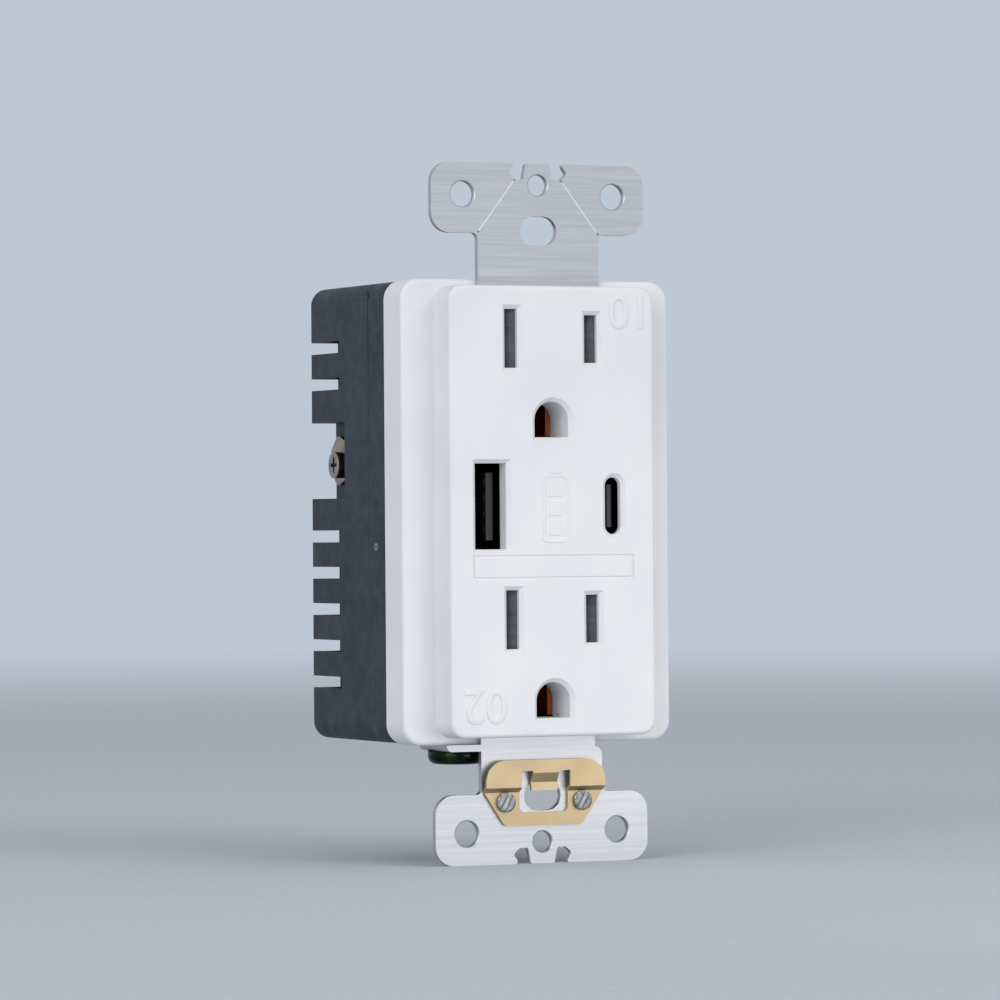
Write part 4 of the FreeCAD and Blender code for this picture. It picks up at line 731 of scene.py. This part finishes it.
def outlet_number(name, number, place, turned):
    """A plain raised number beside an outlet, upside down where turned is half a turn."""
    drawing = bpy.data.curves.new(name, "FONT")
    drawing.body = number
    drawing.size = NUMBER_HEIGHT / CAPITAL_SHARE * MM
    drawing.align_x = "CENTER"
    drawing.align_y = "CENTER"
    drawing.resolution_u = 8
    drawing.extrude = MARK_RAISE * MM
    drawing.bevel_depth = MARK_SLOPE / 2 * MM
    drawing.bevel_resolution = 1
    drawing.offset = -MARK_SLOPE / 2 * MM
    writer = bpy.data.objects.new(name, drawing)
    drawn = bpy.data.meshes.new_from_object(writer)
    bpy.data.objects.remove(writer)
    mesh = bmesh.new()
    mesh.from_mesh(drawn)
    across = [corner.co.x for corner in mesh.verts]
    up = [corner.co.y for corner in mesh.verts]
    drawn_middle = Vector(((min(across) + max(across)) / 2, (min(up) + max(up)) / 2, 0))
    upright = Matrix.Rotation(turned, 4, "Y") @ Matrix.Rotation(math.radians(90), 4, "X")
    at = Vector((place[0] * MM, lowest("face_cover").y, place[1] * MM))
    mesh.transform(Matrix.Translation(-drawn_middle))
    mesh.transform(Matrix.Translation(at) @ upright)
    bmesh.ops.remove_doubles(mesh, verts=mesh.verts, dist=SAME_DRAWN_CORNER * MM)
    piece = new_piece(name, mesh, WHITE, "root")
    smooth_by_angle(piece, 30)


def painted_score_highlights():
    """A raised near-white strip along each break-off line of the upper ears: the line's bright edge as a
    painted highlight.
    """
    face = lowest("mounting_strap").y
    mesh = bmesh.new()
    for side in (-1, 1):
        ends = [Vector((side * across * MM, 0, up * MM)) for across, up in (SCORE_TOP, SCORE_LOW)]
        along = (ends[1] - ends[0]).normalized()
        out = Vector((along.z, 0, -along.x)) * SCORE_WIDTH / 2 * MM
        loops = []
        crest = Vector((0, face - SCORE_RISE * MM, 0))
        root = Vector((0, face + SCORE_DEPTH * MM, 0))
        for place in (ends[0] + along * SCORE_WIDTH * MM, ends[1] - along * SCORE_WIDTH * MM):
            loops.append([place - out + root, place + crest, place + out + root])
        rows = joined_loops(mesh, loops)
        mesh.faces.new(rows[0])
    bmesh.ops.recalc_face_normals(mesh, faces=mesh.faces)
    # The strips' near-white colour is a painted highlight on the steel
    new_piece("painted_score_highlights", mesh, SCORE_HIGHLIGHT, "root")


def pin_mark():
    """The small ring that the mould's ejector pin left on the housing's left side."""
    side = lowest("middle_housing").x
    middle_y, middle_z = PIN_MARK
    around = 32
    turns = [2 * math.pi * step / around for step in range(around)]
    foot = side + PIN_MARK_SINK * MM
    crest = side - PIN_MARK_RAISE * MM
    loops = []
    # Across the ring's width: outer foot, outer and inner edge of its flat crest, inner foot
    for share, depth in ((0, foot), (0.25, crest), (0.75, crest), (1, foot)):
        radius = (PIN_MARK_RADIUS - PIN_MARK_WIDTH * share) * MM
        ring = [(middle_y * MM + math.cos(t) * radius, middle_z * MM + math.sin(t) * radius) for t in turns]
        loops.append([(depth, y, z) for y, z in ring])
    mesh = bmesh.new()
    joined_loops(mesh, loops, capped=False)
    bmesh.ops.recalc_face_normals(mesh, faces=mesh.faces)
    piece = new_piece("ejector_ring", mesh, RUBBED, "root")
    smooth_by_angle(piece, 40)


def seam_painted_shade():
    """A dark sliver at the top of the housing's left seam, painted shade for the gap there, which narrows
    to nothing further down.
    """
    side = lowest("rear_housing").x
    seam = lowest("rear_housing").y
    top = highest("rear_housing").z - PARTING_DROP * MM
    half = PARTING_WIDTH / 2 * MM
    corners = [(seam - half, top), (seam + half, top), (seam, top - PARTING_LENGTH * MM)]
    loops = [[(side + depth * MM, y, z) for y, z in corners] for depth in (PARTING_SINK, -PARTING_RAISE)]
    mesh = bmesh.new()
    rows = joined_loops(mesh, loops)
    mesh.faces.new(rows[0])
    bmesh.ops.recalc_face_normals(mesh, faces=mesh.faces)
    # Black epoxy here is painted shade for the seam's gap, not a part
    new_piece("seam_painted_shade", mesh, EPOXY_AND_SEAM_SHADE, "root")


dress_nodes()
for outlet in ("upper", "lower"):
    shutter_spring(outlet)
clip_rivets()
battery_mark()
outlet_number("upper_number", "01", UPPER_NUMBER, 0)
outlet_number("lower_number", "02", LOWER_NUMBER, math.pi)
painted_score_highlights()
pin_mark()
seam_painted_shade()


# Stage, light and camera

def studio_floor():
    """A plain pale floor that melts into the background far from the socket."""
    mesh = bmesh.new()
    bmesh.ops.create_circle(mesh, cap_ends=True, radius=FLOOR_RADIUS, segments=96)
    data = bpy.data.meshes.new("studio_floor")
    mesh.to_mesh(data)
    mesh.free()
    floor = bpy.data.objects.new("studio_floor", data)
    floor.location = (0, 0, cad_box[0].z)
    bpy.context.scene.collection.objects.link(floor)
    made, tree, surface = finish_named("pale_floor", {"Roughness": 0.9, "Specular IOR Level": 0.1})
    grain = mottling(tree, 1.2, detail=4.0)
    colour = blended(tree, between(tree, grain, 0, 1), FLOOR_DARK, FLOOR_PALE)
    tree.links.new(colour, surface.inputs["Base Color"])
    place = add(tree, "TexCoord").outputs["Object"]
    away = add(tree, "VectorMath", {0: place}, operation="LENGTH").outputs["Value"]
    span = {"Value": away, "From Min": FADE_START, "From Max": FADE_END}
    fade = add(tree, "MapRange", span, interpolation_type="SMOOTHSTEP").outputs["Result"]
    far = add(tree, "Emission", {"Color": linear(BACKGROUND), "Strength": 1.0}).outputs["Emission"]
    both = add(tree, "MixShader", {"Fac": fade, 1: surface.outputs["BSDF"], 2: far})
    tree.links.new(both.outputs["Shader"], tree.nodes["Material Output"].inputs["Surface"])
    data.materials.append(made)


def studio_world():
    """An even pale room: the background where it is seen or mirrored, and soft light everywhere else."""
    world = bpy.data.worlds.new("studio")
    bpy.context.scene.world = world
    world.use_nodes = True
    tree = world.node_tree
    tree.nodes.clear()
    rays = add(tree, "LightPath").outputs
    mirrored = {0: rays["Is Camera Ray"], 1: rays["Is Glossy Ray"]}
    seen = add(tree, "Math", mirrored, operation="MAXIMUM").outputs["Value"]
    through = {0: seen, 1: rays["Is Transmission Ray"]}
    seen = add(tree, "Math", through, operation="MAXIMUM").outputs["Value"]
    light = add(tree, "Background", {"Color": linear(SKY), "Strength": SKY_STRENGTH})
    shown = add(tree, "Background", {"Color": linear(BACKGROUND), "Strength": 1.0})
    ends = {1: light.outputs["Background"], 2: shown.outputs["Background"]}
    both = add(tree, "MixShader", {"Fac": seen, **ends})
    output = add(tree, "OutputWorld")
    tree.links.new(both.outputs["Shader"], output.inputs["Surface"])


def soft_box(name, place, width, height, watts, colour, aim=(0, 0, 0), spread=180):
    """A soft light as wide and high as given, aimed at a point of the socket, gridded to spread degrees."""
    data = bpy.data.lights.new(name, "AREA")
    data.shape = "RECTANGLE"
    data.size = width
    data.size_y = height
    data.energy = watts
    data.spread = math.radians(spread)
    data.color = linear(colour)[:3]
    lamp = bpy.data.objects.new(name, data)
    lamp.location = place
    lamp.rotation_euler = (Vector(aim) - Vector(place)).to_track_quat("-Z", "Y").to_euler()
    lamp.visible_camera = False
    bpy.context.scene.collection.objects.link(lamp)


def photo_camera():
    """A long lens, to the left of the socket and level with its middle."""
    azimuth, elevation, roll = (math.radians(a) for a in (CAMERA_AZIMUTH, CAMERA_ELEVATION, CAMERA_ROLL))
    level = math.cos(elevation)
    ahead = Vector((-math.sin(azimuth) * level, math.cos(azimuth) * level, -math.sin(elevation)))
    right = Vector((math.cos(azimuth), math.sin(azimuth), 0))
    down = ahead.cross(right)
    across = right * math.cos(roll) - down * math.sin(roll)
    below = right * math.sin(roll) + down * math.cos(roll)
    place = -(across * AIM_RIGHT + below * AIM_DOWN + ahead * CAMERA_DISTANCE) * MM
    data = bpy.data.cameras.new("photo_camera")
    data.lens = LENS
    data.sensor_width = SENSOR
    data.clip_start = 0.05
    data.clip_end = 30
    camera = bpy.data.objects.new("photo_camera", data)
    turned = Matrix((across, -below, -ahead)).transposed().to_4x4()
    camera.matrix_world = Matrix.Translation(place) @ turned
    bpy.context.scene.collection.objects.link(camera)
    bpy.context.scene.camera = camera


studio_floor()
studio_world()
# A warm box high in front on the right, a cool one on the left, and a faint strip for the lower ears
soft_box("key_box", place=(0.5, -1.1, 0.8), width=0.9, height=0.9, watts=4.3, colour="#FFFDFA")
soft_box("side_box", place=(-1.0, -0.8, 0.4), width=0.8, height=0.8, watts=6.5, colour="#F8F9FC")
soft_box("low_strip", place=(0.085, -0.181, -0.036), width=0.18, height=0.02, watts=0.012,
         colour="#FFFDFA", aim=(0, 0, -0.03), spread=70)
photo_camera()
bpy.context.scene.view_settings.view_transform = "Standard"
